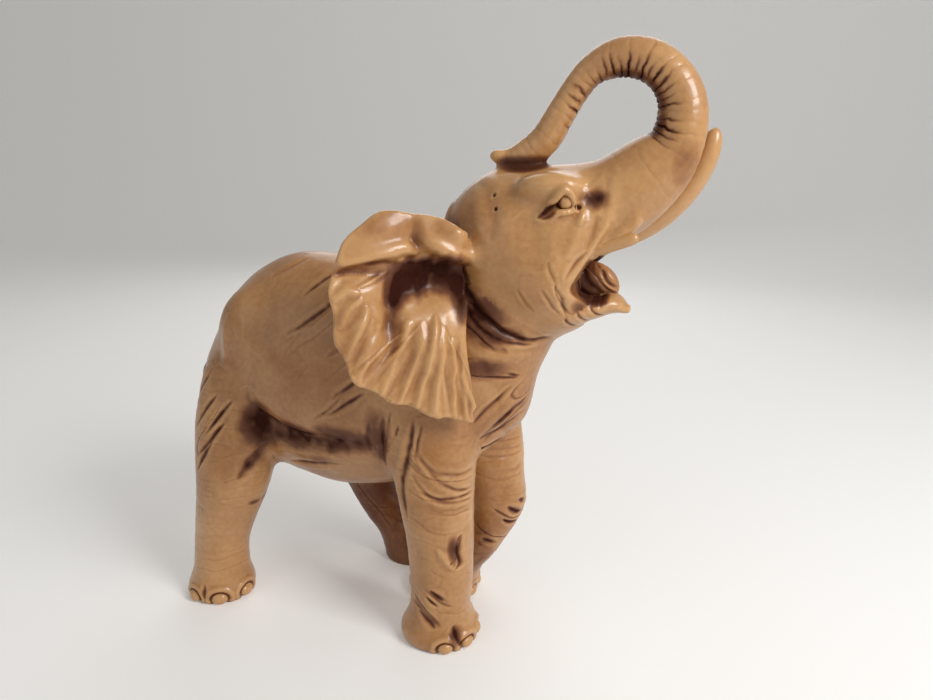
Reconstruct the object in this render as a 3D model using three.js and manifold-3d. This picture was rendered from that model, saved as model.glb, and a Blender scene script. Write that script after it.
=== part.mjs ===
// Standing elephant figurine with a raised trunk, cast in resin as keyed pieces that are glued together.
// Millimetres, +X to the elephant's front, +Y to its left, +Z up. The soles stand on z = 0. Sizes are
// set out from a point on the table under the belly, and the finished figurine is then moved along X,
// so that its origin lies on the table under the middle of its length.

import * as THREE from "three";
import { mergeVertices } from "three/addons/utils/BufferGeometryUtils.js";
import Module from "manifold-3d";

const wasm = await Module();
wasm.setup();

// Fit of the glued joints
const GAP = 0.3; // glue gap round every plug, peg and tab

// Body barrel
const RUMP_REACH = 75; // from the setting-out point back to the rump
const CHEST_REACH = 82; // from the setting-out point forward to the breast
const BODY_WIDTH = 76;
const BACK_HEIGHT = 167;
const BELLY_HEIGHT = 57;

// Neck
const NECK_WIDTH = 48;
const NECK_DEPTH = 62;
const NECK_PEG_DIAMETER = 16;

// Head
const SKULL_REACH = 52; // from the setting-out point forward to the back of the skull
const CROWN_HEIGHT = 206;
const HEAD_LENGTH = 70;
const HEAD_WIDTH = 56;
const HEAD_DEPTH = 69; // from the crown down to the throat

// Mouth
const MOUTH_DEPTH = 9; // from the front of the head back to the corner of the mouth
const MOUTH_RISE = 23; // from the throat up to the corner of the mouth
const MOUTH_CORNER_DIAMETER = 5;
const UPPER_LIP_SLOPE = 62; // degrees above level
const CHEEK_SLOPE = 48; // degrees below level, where the cheek ends on the lower jaw

// Lower jaw and tongue
const JAW_LENGTH = 38;
const JAW_WIDTH = 34;
const JAW_DEPTH = 14;
const LIP_RISE = 6; // from the throat end of the jaw up to the lower lip
const TONGUE_LENGTH = 17;
const TONGUE_WIDTH = 18;
const TONGUE_DEPTH = 13; // height of its back above the jaw

// Trunk, whose raised end turns back over the head in a round loop
const TRUNK_BASE_DIAMETER = 31;
const TRUNK_BASE_RISE = 4; // from the crown up to the top of the trunk at the forehead
const TRUNK_BEND_DIAMETER = 20;
const TRUNK_TOP_DIAMETER = 15.2;
const TRUNK_WAIST_DIAMETER = 11.2;
const TRUNK_END_DIAMETER = 12.4;
const LOOP_DIAMETER = 43; // of the trunk's middle line
const LOOP_RISE = 18; // from the crown up to the middle of the loop
const LOOP_REACH = 72.5; // from the back of the skull forward to the middle of the loop
const TRUNK_FOLDS = 24; // rings of folded skin
const FOLD_DEPTH = 0.35;
const TRUNK_PLUG_LENGTH = 16; // peg that is let into the head
const TRUNK_PEG_DIAMETER = 15;

// Tusks
const TUSK_DIAMETER = 8.2;
const LEFT_TUSK_LENGTH = 63;
const STUMP_LENGTH = 20; // the right tusk is a stump inside its sheath
const STUMP_DIAMETER = 7.2;
const STUMP_TILT = 22;
const TUSK_DROP = 34; // from the crown down to the roots
const TUSK_INSET = 1; // from the front of the head back to the root of the long tusk
const STUMP_INSET = 5;
const STUMP_RAISE = 2.5; // how much higher the stump is rooted
const TUSK_SPACING = 22; // between the middle lines of the tusks
const TUSK_TILT = 28; // degrees above level at the root
const TUSK_BEND = 50; // degrees that the long tusk turns up along its length

// Ears
const EAR_DROP = 54; // from the root down to the lowest lobe
const EAR_WIDTH = 53; // from the root back to the rim
const EAR_RISE = 40; // from the root up to the folded top edge
const EAR_THICKNESS = 3.4;
const EAR_FLARE = 42; // degrees that the ear stands off the head
const EAR_TILT = 14; // degrees that its lower lobe swings out
const EAR_HOLLOW = 5; // depth of the hollow beside the root
const EAR_FOLD = 5; // how far the top edge folds forward
const EAR_FLUTES = 9;
const FLUTE_DEPTH = 1.1;
const EAR_TAB_LENGTH = 9; // part of the root that is let into the head
const EAR_TAB_HEIGHT = 26;

// Legs
const FOOT_HEIGHT = 11;
const FRONT_FOOT_DIAMETER = 35;
const REAR_FOOT_DIAMETER = 32;
const FRONT_SHANK_DIAMETER = 28;
const REAR_SHANK_DIAMETER = 27;
const FRONT_KNEE_DIAMETER = 30;
const REAR_KNEE_DIAMETER = 35;
const FRONT_KNEE_HEIGHT = 47;
const REAR_KNEE_HEIGHT = 58;
const SHOULDER_WIDTH = 32;
const SHOULDER_DEPTH = 38;
const SHOULDER_SPACING = 44; // across, between the tops of the front legs
const THIGH_WIDTH = 34;
const THIGH_DEPTH = 41;
const HIP_SPACING = 42;
const FRONT_STANCE = 35; // across, between the middles of the feet
const FRONT_SWAY = -7.5; // how far to the left the pair of feet steps
const REAR_STANCE = 62.5;
const REAR_SWAY = 2.5;
const PLUG_HEIGHT = 112; // top of the leg plugs inside the body
const NAIL_WIDTH = 7;
const FRONT_NAIL_SPACING = 38; // degrees round the foot
const REAR_NAIL_SPACING = 52;
const FRONT_NAIL_TURN = 4; // degrees that the nails are set toward the outer side
const REAR_NAIL_TURN = 58;
const FRONT_NAILS = 4;
const REAR_NAILS = 3;

// Tail
const TAIL_LENGTH = 66;
const TAIL_DIAMETER = 7;
const TUFT_DIAMETER = 8.5;

// Eyes
const EYE_DIAMETER = 6.4;
const EYE_INSET = 16; // from the front of the head back to the eye
const EYE_DROP = 11.5; // from the crown down to the eye

const [RIGHT, LEFT] = [-1, 1];
const FORWARD = new THREE.Vector3(1, 0, 0);
const DOWN = new THREE.Vector3(0, 0, -1);

const v = (x, y, z) => new THREE.Vector3(x, y, z);
const mix = THREE.MathUtils.lerp;
const radians = THREE.MathUtils.degToRad;
const smooth = (t) => THREE.MathUtils.smoothstep(t, 0, 1);
const steps = (count) => Array.from({ length: count + 1 }, (_, i) => i / count);

const join = (...solids) => solids.reduce((a, b) => a.add(b));
const trim = (solid, ...cutters) => cutters.reduce((left, cutter) => left.subtract(cutter), solid);

// A solid that manifold-3d can join and cut, from points and the corners of its triangles.
function solidFrom(points, faces) {
  const vertProperties = new Float32Array(points.flatMap((p) => [p.x, p.y, p.z]));
  const make = (corners) => {
    const triVerts = new Uint32Array(corners);
    return new wasm.Manifold(new wasm.Mesh({ numProp: 3, vertProperties, triVerts }));
  };
  const solid = make(faces);
  return solid.volume() > 0 ? solid : make(faces.reverse());
}

function solidFromGeometry(geometry) {
  geometry.deleteAttribute("normal");
  geometry.deleteAttribute("uv");
  const merged = mergeVertices(geometry, 1e-3);
  const position = merged.getAttribute("position");
  const points = Array.from({ length: position.count }, (_, i) => v().fromBufferAttribute(position, i));
  return solidFrom(points, Array.from(merged.index.array));
}

// A closed skin over a row of rings that all have as many points, with a pole at each end.
function skin(rings, startPole, endPole) {
  const sides = rings[0].length;
  const points = [startPole, ...rings.flat(), endPole];
  const last = points.length - 1;
  const at = (ring, side) => 1 + ring * sides + (side % sides);
  const faces = [];
  for (let s = 0; s < sides; s++) {
    faces.push(0, at(0, s + 1), at(0, s));
    faces.push(last, at(rings.length - 1, s), at(rings.length - 1, s + 1));
    for (let r = 0; r + 1 < rings.length; r++) {
      faces.push(at(r, s), at(r, s + 1), at(r + 1, s + 1));
      faces.push(at(r, s), at(r + 1, s + 1), at(r + 1, s));
    }
  }
  return solidFrom(points, faces);
}

// The value at t, from 0 to 1, on a smooth curve through a row of evenly spaced values.
function along(values, t) {
  const place = t * (values.length - 1);
  const i = Math.min(Math.floor(place), values.length - 2);
  const f = place - i;
  const slopeIn = (values[i + 1] - values[Math.max(i - 1, 0)]) / 2;
  const slopeOut = (values[Math.min(i + 2, values.length - 1)] - values[i]) / 2;
  const turn = f * f * (3 - 2 * f);
  const bend = f * (1 - f);
  return mix(values[i], values[i + 1], turn) + bend * (slopeIn * (1 - f) - slopeOut * f);
}

// A loft through stations { at, wide, high, low }: the middle of a ring, its half width across and its
// half depths above and below. Rings stand square to the middle line, or to facing where that is given,
// so that facing down makes level rings, high ahead and low behind. Domes close the ends, each as deep
// as its share of the end's size. grow makes the same loft larger all round, as the cutter for a seat.
function loft(stations, options = {}) {
  const { sides = 20, rings = 20, grow = 0, facing = null } = options;
  const { startDome = 0.8, endDome = 0.8, ripple = () => 0 } = options;
  const STEP = 1e-3;
  const place = (t) => v(...["x", "y", "z"].map((axis) => along(stations.map((s) => s.at[axis]), t)));
  const size = (key, t) => along(stations.map((s) => s[key]), t) + ripple(t) + grow;

  const frameAt = (t) => {
    const ahead = facing ?? place(Math.min(t + STEP, 1)).sub(place(Math.max(t - STEP, 0))).normalize();
    const side = v(0, 1, 0).addScaledVector(ahead, -ahead.y).normalize();
    return { ahead, side, above: v().crossVectors(ahead, side) };
  };
  const middleAt = (t, push) => place(t).addScaledVector(frameAt(t).ahead, push);
  const domeDepth = (t, dome) => dome * (Math.min(size("wide", t), size("high", t)) - grow) + grow;

  const ringAt = (t, shrink, push) => {
    const { side, above } = frameAt(t);
    return Array.from({ length: sides }, (_, k) => {
      const turn = (2 * Math.PI * k) / sides;
      const across = size("wide", t) * Math.cos(turn) * shrink;
      const deep = size(Math.sin(turn) > 0 ? "high" : "low", t) * Math.sin(turn) * shrink;
      return middleAt(t, push).addScaledVector(side, across).addScaledVector(above, deep);
    });
  };
  const domeRings = (t, dome, sign) =>
    (dome > 0 ? [Math.PI / 6, Math.PI / 3] : []).map((angle) =>
      ringAt(t, Math.cos(angle), sign * domeDepth(t, dome) * Math.sin(angle)),
    );

  const body = steps(rings).map((t) => ringAt(t, 1, 0));
  if (startDome === 0) body[0] = ringAt(0, 1, -grow);
  if (endDome === 0) body[rings] = ringAt(1, 1, grow);
  return skin(
    [...domeRings(0, startDome, -1).reverse(), ...body, ...domeRings(1, endDome, 1)],
    middleAt(0, -domeDepth(0, startDome)),
    middleAt(1, domeDepth(1, endDome)),
  );
}

const round = (at, radius, low = radius) => ({ at, wide: radius, high: radius, low });

// A ball, stretched along three axes and turned about Z.
function ball(middle, radii, turn = 0, fine = 12) {
  const geometry = new THREE.SphereGeometry(1, fine, Math.ceil(fine * 0.6));
  geometry.scale(radii.x, radii.y, radii.z).rotateZ(turn).translate(middle.x, middle.y, middle.z);
  return solidFromGeometry(geometry);
}

// Body

const bodyX = (share) => mix(-RUMP_REACH, CHEST_REACH, share);
const bodyZ = (share) => mix(BELLY_HEIGHT, BACK_HEIGHT, share);

// Stations of the barrel as shares of its length, height and width: [along, top, bottom, width].
function barrel() {
  const shape = [
    [0.0, 0.5, 0.34, 0.22],
    [0.06, 0.64, 0.22, 0.46],
    [0.18, 0.85, 0.1, 0.74],
    [0.33, 0.99, 0.03, 0.92],
    [0.5, 1.0, 0.0, 1.0],
    [0.67, 0.97, 0.04, 0.98],
    [0.81, 0.92, 0.12, 0.86],
    [0.92, 0.78, 0.22, 0.66],
    [1.0, 0.6, 0.34, 0.4],
  ];
  const stations = shape.map(([share, top, bottom, width]) => {
    const half = (bodyZ(top) - bodyZ(bottom)) / 2;
    const at = v(bodyX(share), 0, bodyZ(bottom) + half);
    return { at, wide: (BODY_WIDTH / 2) * width, high: half, low: half };
  });
  return loft(stations, { sides: 28, rings: 18, facing: FORWARD, startDome: 0.5, endDome: 0.5 });
}

// Head places that several pieces share
const headX = (share) => SKULL_REACH + HEAD_LENGTH * share;
const headZ = (share) => CROWN_HEIGHT - HEAD_DEPTH * share;
const neckStart = v(bodyX(0.83), 0, bodyZ(0.45));
const neckEnd = v(headX(0.48), 0, headZ(0.55));

function neck() {
  const shape = [
    [0, 1.12, 0.96],
    [0.35, 1.04, 0.92],
    [0.7, 0.96, 0.86],
    [1, 0.88, 0.74],
  ];
  const stations = shape.map(([share, width, depth]) => {
    const deep = (NECK_DEPTH / 2) * depth;
    const at = neckStart.clone().lerp(neckEnd, share);
    return { at, wide: (NECK_WIDTH / 2) * width, high: deep, low: deep };
  });
  return loft(stations, { sides: 24, rings: 7, startDome: 0.3, endDome: 0.1 });
}

// The peg runs from inside the body up into the head.
function neckPeg(grow = 0) {
  const start = neckStart.clone().lerp(neckEnd, 0.3);
  const radius = NECK_PEG_DIAMETER / 2;
  const stations = [round(start, radius), round(neckEnd, radius)];
  return loft(stations, { sides: 16, rings: 1, startDome: 0, endDome: 0.3, grow });
}

// Stations of the skull as shares of its length, depth and width: [along, top, bottom, width].
function skull(grow = 0) {
  const shape = [
    [0.05, 0.24, 0.56, 0.42],
    [0.16, 0.1, 0.74, 0.74],
    [0.32, 0.02, 0.9, 0.94],
    [0.48, 0.0, 0.98, 1.0],
    [0.64, 0.0, 1.0, 0.98],
    [0.78, 0.0, 0.97, 0.88],
    [0.9, 0.02, 0.86, 0.74],
    [1.0, 0.06, 0.6, 0.6],
  ];
  const stations = shape.map(([share, top, bottom, width]) => {
    const half = (headZ(top) - headZ(bottom)) / 2;
    const at = v(headX(share), 0, headZ(bottom) + half);
    return { at, wide: (HEAD_WIDTH / 2) * width, high: half, low: half };
  });
  return loft(stations, { sides: 24, rings: 18, facing: FORWARD, startDome: 0.5, endDome: 0.2, grow });
}

// Eyes, each a ball set in a socket under its lid

const eyeMiddle = (side) => v(headX(1) - EYE_INSET, side * HEAD_WIDTH * 0.385, CROWN_HEIGHT - EYE_DROP);

function eye(side, grow = 0) {
  const radius = EYE_DIAMETER / 2 + grow;
  return ball(eyeMiddle(side), v(radius, radius, radius), 0, 14);
}

function eyeLid(side) {
  const reach = EYE_DIAMETER / 2;
  const middle = eyeMiddle(side).add(v(-reach * 0.3, -side * reach * 0.3, reach * 0.45));
  return ball(middle, v(reach * 1.9, reach * 1.2, reach * 0.9));
}

// Open mouth, cut right across the head from its corner forward

function mouth() {
  const radius = MOUTH_CORNER_DIAMETER / 2;
  const outline = new THREE.Shape();
  outline.moveTo(0, -radius);
  outline.lineTo(HEAD_LENGTH, -HEAD_LENGTH * Math.tan(radians(CHEEK_SLOPE)));
  outline.lineTo(HEAD_LENGTH, HEAD_LENGTH * Math.tan(radians(UPPER_LIP_SLOPE)));
  outline.lineTo(0, radius);
  outline.absarc(0, 0, radius, Math.PI / 2, (3 * Math.PI) / 2, false);
  const across = { depth: HEAD_WIDTH, bevelEnabled: false, curveSegments: 6 };
  const geometry = new THREE.ExtrudeGeometry(outline, across);
  geometry.rotateX(Math.PI / 2);
  geometry.translate(headX(1) - MOUTH_DEPTH, HEAD_WIDTH / 2, headZ(1) + MOUTH_RISE);
  return solidFromGeometry(geometry);
}

// Lower jaw with its tongue

const jawStart = v(headX(0.56), 0, headZ(1) + JAW_DEPTH * 0.75);

function jaw(grow = 0) {
  const shape = [
    [0, 0, 0.8, 0.9],
    [0.35, 0.06, 1, 1],
    [0.7, 0.42, 0.72, 0.72],
    [0.92, 0.82, 0.42, 0.4],
    [1, 1, 0.26, 0.24],
  ];
  const stations = shape.map(([share, rise, width, depth]) => {
    const deep = (JAW_DEPTH / 2) * depth;
    const at = jawStart.clone().add(v(JAW_LENGTH * share, 0, LIP_RISE * rise));
    return { at, wide: (JAW_WIDTH / 2) * width, high: deep, low: deep };
  });
  return loft(stations, { sides: 18, rings: 12, startDome: 0.5, endDome: 0.7, grow });
}

// The tongue rises at the back to fill the mouth.
function tongue(grow = 0) {
  const start = jawStart.clone().add(v(JAW_LENGTH * 0.42, 0, JAW_DEPTH * 0.5));
  const shape = [
    [0, 0, 0.7, 0.9],
    [0.3, 0.1, 1, 1],
    [0.65, 0.2, 0.95, 0.8],
    [1, 0.36, 0.6, 0.34],
  ];
  const stations = shape.map(([share, rise, width, depth]) => {
    const high = TONGUE_DEPTH * depth;
    const at = start.clone().add(v(TONGUE_LENGTH * share, 0, LIP_RISE * rise));
    return { at, wide: (TONGUE_WIDTH / 2) * width, high, low: high * 0.3 };
  });
  return loft(stations, { sides: 16, rings: 8, facing: FORWARD, grow });
}

// Trunk

const loopMiddle = v(SKULL_REACH + LOOP_REACH, 0, CROWN_HEIGHT + LOOP_RISE);
const onLoop = (degrees) => {
  const turn = radians(degrees);
  return v(Math.cos(turn), 0, Math.sin(turn)).multiplyScalar(LOOP_DIAMETER / 2).add(loopMiddle);
};

function trunkStations() {
  const base = TRUNK_BASE_DIAMETER / 2;
  const bend = TRUNK_BEND_DIAMETER / 2;
  const top = TRUNK_TOP_DIAMETER / 2;
  const end = TRUNK_END_DIAMETER / 2;
  const rootZ = CROWN_HEIGHT + TRUNK_BASE_RISE - base;
  const root = v(headX(1) - TRUNK_PLUG_LENGTH, 0, rootZ - TRUNK_PLUG_LENGTH * 0.3);
  const waist = TRUNK_WAIST_DIAMETER / 2;
  const landing = v(headX(0.56), 0, CROWN_HEIGHT + end * 0.9);
  const descent = onLoop(150);
  const rising = (share) => mix(bend, top, smooth(share));
  const falling = (share) => mix(top, waist, smooth(share));
  return [
    round(root, base * 0.95),
    round(v(headX(1), 0, rootZ), base),
    round(v(headX(1), 0, rootZ).lerp(onLoop(-40), 0.62), mix(base, bend, 0.5)),
    ...[-36, -9, 18, 45, 72].map((angle) => round(onLoop(angle), rising((angle + 40) / 110))),
    ...[99, 126, 150].map((angle) => round(onLoop(angle), falling((angle - 80) / 60))),
    round(descent.clone().lerp(landing, 0.4), mix(waist, end, 0.4)),
    round(descent.clone().lerp(landing, 0.8), end),
    round(landing.clone().add(v(-end * 0.95, 0, -end * 0.28)), end * 0.96),
    round(landing.clone().add(v(-end * 2.2, 0, -end * 0.5)), end * 0.78),
  ];
}

function trunk(grow = 0) {
  const ripple = (t) => -FOLD_DEPTH * Math.cos(Math.PI * TRUNK_FOLDS * t) ** 2;
  const fineness = { sides: 14, rings: TRUNK_FOLDS * 2 };
  return loft(trunkStations(), { ...fineness, ripple, startDome: 0.2, endDome: 0.4, grow });
}

function trunkPeg(grow = 0) {
  const radius = TRUNK_PEG_DIAMETER / 2;
  const stations = trunkStations()
    .slice(0, 3)
    .map((station) => round(station.at, radius));
  return loft(stations, { sides: 14, rings: 4, startDome: 0.3, endDome: 0.3, grow });
}

// Tusks, each on an arc that turns up from its root under the lip

function tusk({ side, length, diameter, tilt, inset, drop }, grow = 0) {
  const start = v(headX(1) - inset, side * (TUSK_SPACING / 2), CROWN_HEIGHT - drop);
  const bendRadius = LEFT_TUSK_LENGTH / radians(TUSK_BEND);
  const first = radians(tilt);
  const stations = steps(5).map((share) => {
    const turn = first + (length * share) / bendRadius;
    const ahead = bendRadius * (Math.sin(turn) - Math.sin(first));
    const rise = bendRadius * (Math.cos(first) - Math.cos(turn));
    const taper = 1 - 0.5 * ((length * share) / LEFT_TUSK_LENGTH) ** 2.2;
    return round(start.clone().add(v(ahead, 0, rise)), (diameter / 2) * taper);
  });
  return loft(stations, { sides: 12, rings: Math.max(4, Math.round(length / 4)), startDome: 0.2, grow });
}

const LONG_TUSK = {
  side: LEFT,
  length: LEFT_TUSK_LENGTH,
  diameter: TUSK_DIAMETER,
  tilt: TUSK_TILT,
  inset: TUSK_INSET,
  drop: TUSK_DROP,
};
const STUMP = {
  side: RIGHT,
  length: STUMP_LENGTH,
  diameter: STUMP_DIAMETER,
  tilt: STUMP_TILT,
  inset: STUMP_INSET,
  drop: TUSK_DROP - STUMP_RAISE,
};

// Ears, each a fluted shell round its root, with a tab that is let into the head

const EAR_REACH = [1, 0.92, 1.01].map((share) => EAR_DROP * share).concat(
  [1.03, 0.975].map((share) => EAR_WIDTH * share),
  [0.98, 0.46].map((share) => EAR_RISE * share),
);
const EAR_FRONT_ANGLE = -7; // degrees from straight down, where the front edge of the lobe hangs
const EAR_TOP_ANGLE = 166;
const EAR_HUB = 0.065; // inner edge of the shell as a share of its reach

function earAxes(side) {
  const flare = radians(EAR_FLARE);
  const tilt = radians(EAR_TILT);
  const back = v(-Math.cos(flare), side * Math.sin(flare), 0);
  const up = v(0, -side * Math.sin(tilt), Math.cos(tilt));
  const front = v(Math.sin(flare), side * Math.cos(flare), Math.sin(tilt) * Math.cos(flare)).normalize();
  const root = v(headX(0.26), side * HEAD_WIDTH * 0.44, headZ(0.63));
  return { back, up, front, root };
}

function earShell(side, grow = 0) {
  const { back, up, front, root } = earAxes(side);
  const spokes = 5;
  const surface = (share, out) => {
    const angle = radians(mix(EAR_FRONT_ANGLE, EAR_TOP_ANGLE, share));
    const reach = (along(EAR_REACH, THREE.MathUtils.clamp(share, 0, 1)) + grow) * out;
    const edge = smooth((out - 0.25) / 0.75);
    const wave = Math.cos(2 * Math.PI * EAR_FLUTES * share) * (1 - smooth((share - 0.7) / 0.2));
    const flute = FLUTE_DEPTH * edge * wave;
    const hollow = EAR_HOLLOW * Math.exp(-(((out - 0.34) / 0.2) ** 2)) * smooth((share - 0.15) / 0.3);
    const fold = EAR_FOLD * smooth((share - 0.72) / 0.2) * edge;
    return root
      .clone()
      .addScaledVector(back, reach * Math.sin(angle))
      .addScaledVector(up, -reach * Math.cos(angle))
      .addScaledVector(front, flute + fold - hollow);
  };
  const ringAt = (share) => {
    const outs = steps(spokes).map((k) => mix(EAR_HUB, 1, k));
    const half = (out) => (EAR_THICKNESS / 2) * (1 - 0.45 * out ** 2) + grow;
    const frontSide = outs.map((out) => surface(share, out * 0.985).addScaledVector(front, half(out)));
    const rim = surface(share, 1.015);
    const backSide = outs.map((out) => surface(share, out * 0.985).addScaledVector(front, -half(out)));
    return [...frontSide, rim, ...backSide.reverse()];
  };
  const turns = EAR_FLUTES * 3;
  const nudge = grow / EAR_DROP;
  const rings = steps(turns).map((share) => ringAt(mix(-nudge, 1 + nudge, share)));
  return skin(rings, surface(-nudge, 0.55), surface(1 + nudge, 0.55));
}

function earTab(side, grow = 0) {
  const { back, up, front, root } = earAxes(side);
  const radius = EAR_TAB_LENGTH + grow;
  const half = EAR_THICKNESS * 0.9 + grow;
  const geometry = new THREE.CylinderGeometry(1, 1, EAR_TAB_HEIGHT + 2 * grow, 16);
  const frame = new THREE.Matrix4().makeBasis(
    back.clone().multiplyScalar(radius),
    up,
    front.clone().multiplyScalar(half),
  );
  const middle = root.clone().addScaledVector(back, -EAR_TAB_LENGTH * 0.6);
  frame.setPosition(middle.addScaledVector(up, EAR_TAB_HEIGHT * 0.2));
  geometry.applyMatrix4(frame);
  return solidFromGeometry(geometry);
}

const ear = (side, grow = 0) => earShell(side, grow).add(earTab(side, grow));

// Legs, each set out from its hip or shoulder by how far ahead of it the knee, shank and foot stand

function legStations(build) {
  const { side, hip, knee, shank, foot, plug, depth, kneeHeight, sway, stance } = build;
  const footY = (side * stance) / 2 + sway;
  const hipY = (side * build.hipSpacing) / 2;
  const at = (ahead, out, z) => v(hip + ahead, mix(hipY, footY, out), z);
  const shankHeight = mix(FOOT_HEIGHT, kneeHeight, 0.42);
  const thighSize = [mix(plug, build.kneeSize, 0.5), mix(depth, build.kneeSize, 0.55)];
  const ring = (middle, wide, long) => ({ at: middle, wide: wide / 2, high: long / 2, low: long / 2 });
  return [
    ring(at(0, 0, PLUG_HEIGHT), plug * 0.62, depth * 0.8),
    ring(at(knee * 0.25, 0.1, mix(PLUG_HEIGHT, kneeHeight, 0.4)), plug * 0.96, depth),
    ring(at(knee * 0.7, 0.4, mix(PLUG_HEIGHT, kneeHeight, 0.75)), ...thighSize),
    ring(at(knee, 0.6, kneeHeight), build.kneeSize * 0.97, build.kneeSize),
    ring(at(shank, 0.85, shankHeight), build.shankSize, build.shankSize),
    ring(at(mix(shank, foot, 0.6), 1, FOOT_HEIGHT * 1.3), build.shankSize, build.shankSize),
    ring(at(foot, 1, FOOT_HEIGHT * 0.45), build.footSize, build.footSize),
    ring(at(foot, 1, 0), build.footSize * 0.95, build.footSize * 0.95),
  ];
}

// Nails stand round the front of the foot, side by side.
function nails(build) {
  const { at, wide } = legStations(build).at(-2);
  const spacing = radians(build.nailSpacing);
  return Array.from({ length: build.nails }, (_, i) => {
    const turn = (i - (build.nails - 1) / 2) * spacing + build.side * radians(build.nailTurn);
    const out = wide - NAIL_WIDTH * 0.08;
    const middle = v(at.x + out * Math.cos(turn), at.y + out * Math.sin(turn), NAIL_WIDTH * 0.36);
    return ball(middle, v(NAIL_WIDTH * 0.27, NAIL_WIDTH * 0.48, NAIL_WIDTH * 0.355), turn, 8);
  });
}

function leg(build, grow = 0) {
  const fineness = { sides: 16, rings: 14 };
  const limb = loft(legStations(build), { ...fineness, facing: DOWN, startDome: 0.35, endDome: 0, grow });
  return grow > 0 ? limb : join(limb, ...nails(build));
}

const FRONT = {
  plug: SHOULDER_WIDTH,
  depth: SHOULDER_DEPTH,
  kneeHeight: FRONT_KNEE_HEIGHT,
  kneeSize: FRONT_KNEE_DIAMETER,
  shankSize: FRONT_SHANK_DIAMETER,
  footSize: FRONT_FOOT_DIAMETER,
  stance: FRONT_STANCE,
  sway: FRONT_SWAY,
  hipSpacing: SHOULDER_SPACING,
  nails: FRONT_NAILS,
  nailSpacing: FRONT_NAIL_SPACING,
  nailTurn: FRONT_NAIL_TURN,
};
const REAR = {
  plug: THIGH_WIDTH,
  depth: THIGH_DEPTH,
  kneeHeight: REAR_KNEE_HEIGHT,
  kneeSize: REAR_KNEE_DIAMETER,
  shankSize: REAR_SHANK_DIAMETER,
  footSize: REAR_FOOT_DIAMETER,
  stance: REAR_STANCE,
  sway: REAR_SWAY,
  hipSpacing: HIP_SPACING,
  nails: REAR_NAILS,
  nailSpacing: REAR_NAIL_SPACING,
  nailTurn: REAR_NAIL_TURN,
};

// Hip as a share of the body's reach, then how far ahead of it knee, shank and foot stand, of its height
const stride = (build, side, reach, hip, [knee, shank, foot]) => ({
  ...build,
  side,
  hip: reach * hip,
  knee: PLUG_HEIGHT * knee,
  shank: PLUG_HEIGHT * shank,
  foot: PLUG_HEIGHT * foot,
});

const LEGS = {
  front_right_leg: stride(FRONT, RIGHT, CHEST_REACH, 0.634, [0.045, 0.054, 0.045]),
  front_left_leg: stride(FRONT, LEFT, CHEST_REACH, 0.732, [0.076, 0, -0.125]),
  rear_right_leg: stride(REAR, RIGHT, RUMP_REACH, -0.613, [-0.027, -0.094, -0.116]),
  rear_left_leg: stride(REAR, LEFT, RUMP_REACH, -0.4, [0.214, 0.286, 0.4375]),
};

// Tail

const tailStart = v(bodyX(0.03), 0, bodyZ(0.56));

// Stations of the tail as shares of its length: [ahead of its root, below it, to the left, thickness].
function tail(grow = 0) {
  const shape = [
    [0.14, -0.06, 0, 1],
    [0, 0, 0, 1],
    [-0.07, 0.18, 0.03, 0.9],
    [-0.09, 0.45, 0.075, 0.72],
    [-0.05, 0.72, 0.12, TUFT_DIAMETER / TAIL_DIAMETER],
    [0.015, 1, 0.15, 0.3],
  ];
  const stations = shape.map(([ahead, below, across, thickness]) => {
    const offset = v(ahead, across, -below).multiplyScalar(TAIL_LENGTH);
    return round(tailStart.clone().add(offset), (TAIL_DIAMETER / 2) * thickness);
  });
  return loft(stations, { sides: 10, rings: 14, grow, startDome: 0.2 });
}

// Pieces, each cut to seat on its neighbours

const bothSides = (make) => [make(RIGHT), make(LEFT)];

const ears = (grow) => bothSides((side) => ear(side, grow));
const eyes = (grow) => bothSides((side) => eye(side, grow));

const legs = Object.fromEntries(Object.entries(LEGS).map(([name, build]) => [name, leg(build)]));
const legSeats = Object.values(LEGS).map((build) => leg(build, GAP));
const earSeats = ears(GAP);
const tuskSeats = [LONG_TUSK, STUMP].map((build) => tusk(build, GAP));
const headSeat = skull(GAP);

const pieces = {
  torso: trim(join(barrel(), neck()), headSeat, jaw(GAP), tail(GAP), ...legSeats, ...earSeats),
  head: trim(
    join(trim(skull(), mouth()), ...bothSides(eyeLid)),
    neckPeg(GAP),
    jaw(GAP),
    tongue(GAP),
    trunkPeg(GAP),
    ...tuskSeats,
    ...earSeats,
    ...eyes(GAP),
  ),
  lower_jaw: trim(jaw(), tongue(GAP)),
  tongue: tongue(),
  trunk: join(trim(trunk(), headSeat, ...tuskSeats), trunkPeg()),
  right_tusk: tusk(STUMP),
  left_tusk: tusk(LONG_TUSK),
  right_ear: ear(RIGHT),
  left_ear: ear(LEFT),
  right_eye: eye(RIGHT),
  left_eye: eye(LEFT),
  tail: tail(),
  ...Object.fromEntries(Object.entries(legs).map(([name, solid]) => [name, trim(solid, ...earSeats)])),
};
pieces.torso = join(pieces.torso, neckPeg());

// Finishes
const ivory = { color: 0xc9a66b, roughness: 0.32, metalness: 0 };
const stained = { color: 0x5a2c1c, roughness: 0.4, metalness: 0 };
const FINISH = { tongue: stained };

function meshOf(name, solid) {
  const { vertProperties, triVerts } = solid.getMesh();
  const geometry = new THREE.BufferGeometry();
  geometry.setAttribute("position", new THREE.BufferAttribute(vertProperties, 3));
  geometry.setIndex(new THREE.BufferAttribute(triVerts, 1));
  geometry.computeVertexNormals();
  const mesh = new THREE.Mesh(geometry, new THREE.MeshStandardMaterial(FINISH[name] ?? ivory));
  mesh.name = name;
  return mesh;
}

const boxes = Object.values(pieces).map((solid) => solid.boundingBox());
const rearX = Math.min(...boxes.map((box) => box.min[0]));
const foreX = Math.max(...boxes.map((box) => box.max[0]));
const centring = [-(rearX + foreX) / 2, 0, 0];

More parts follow.
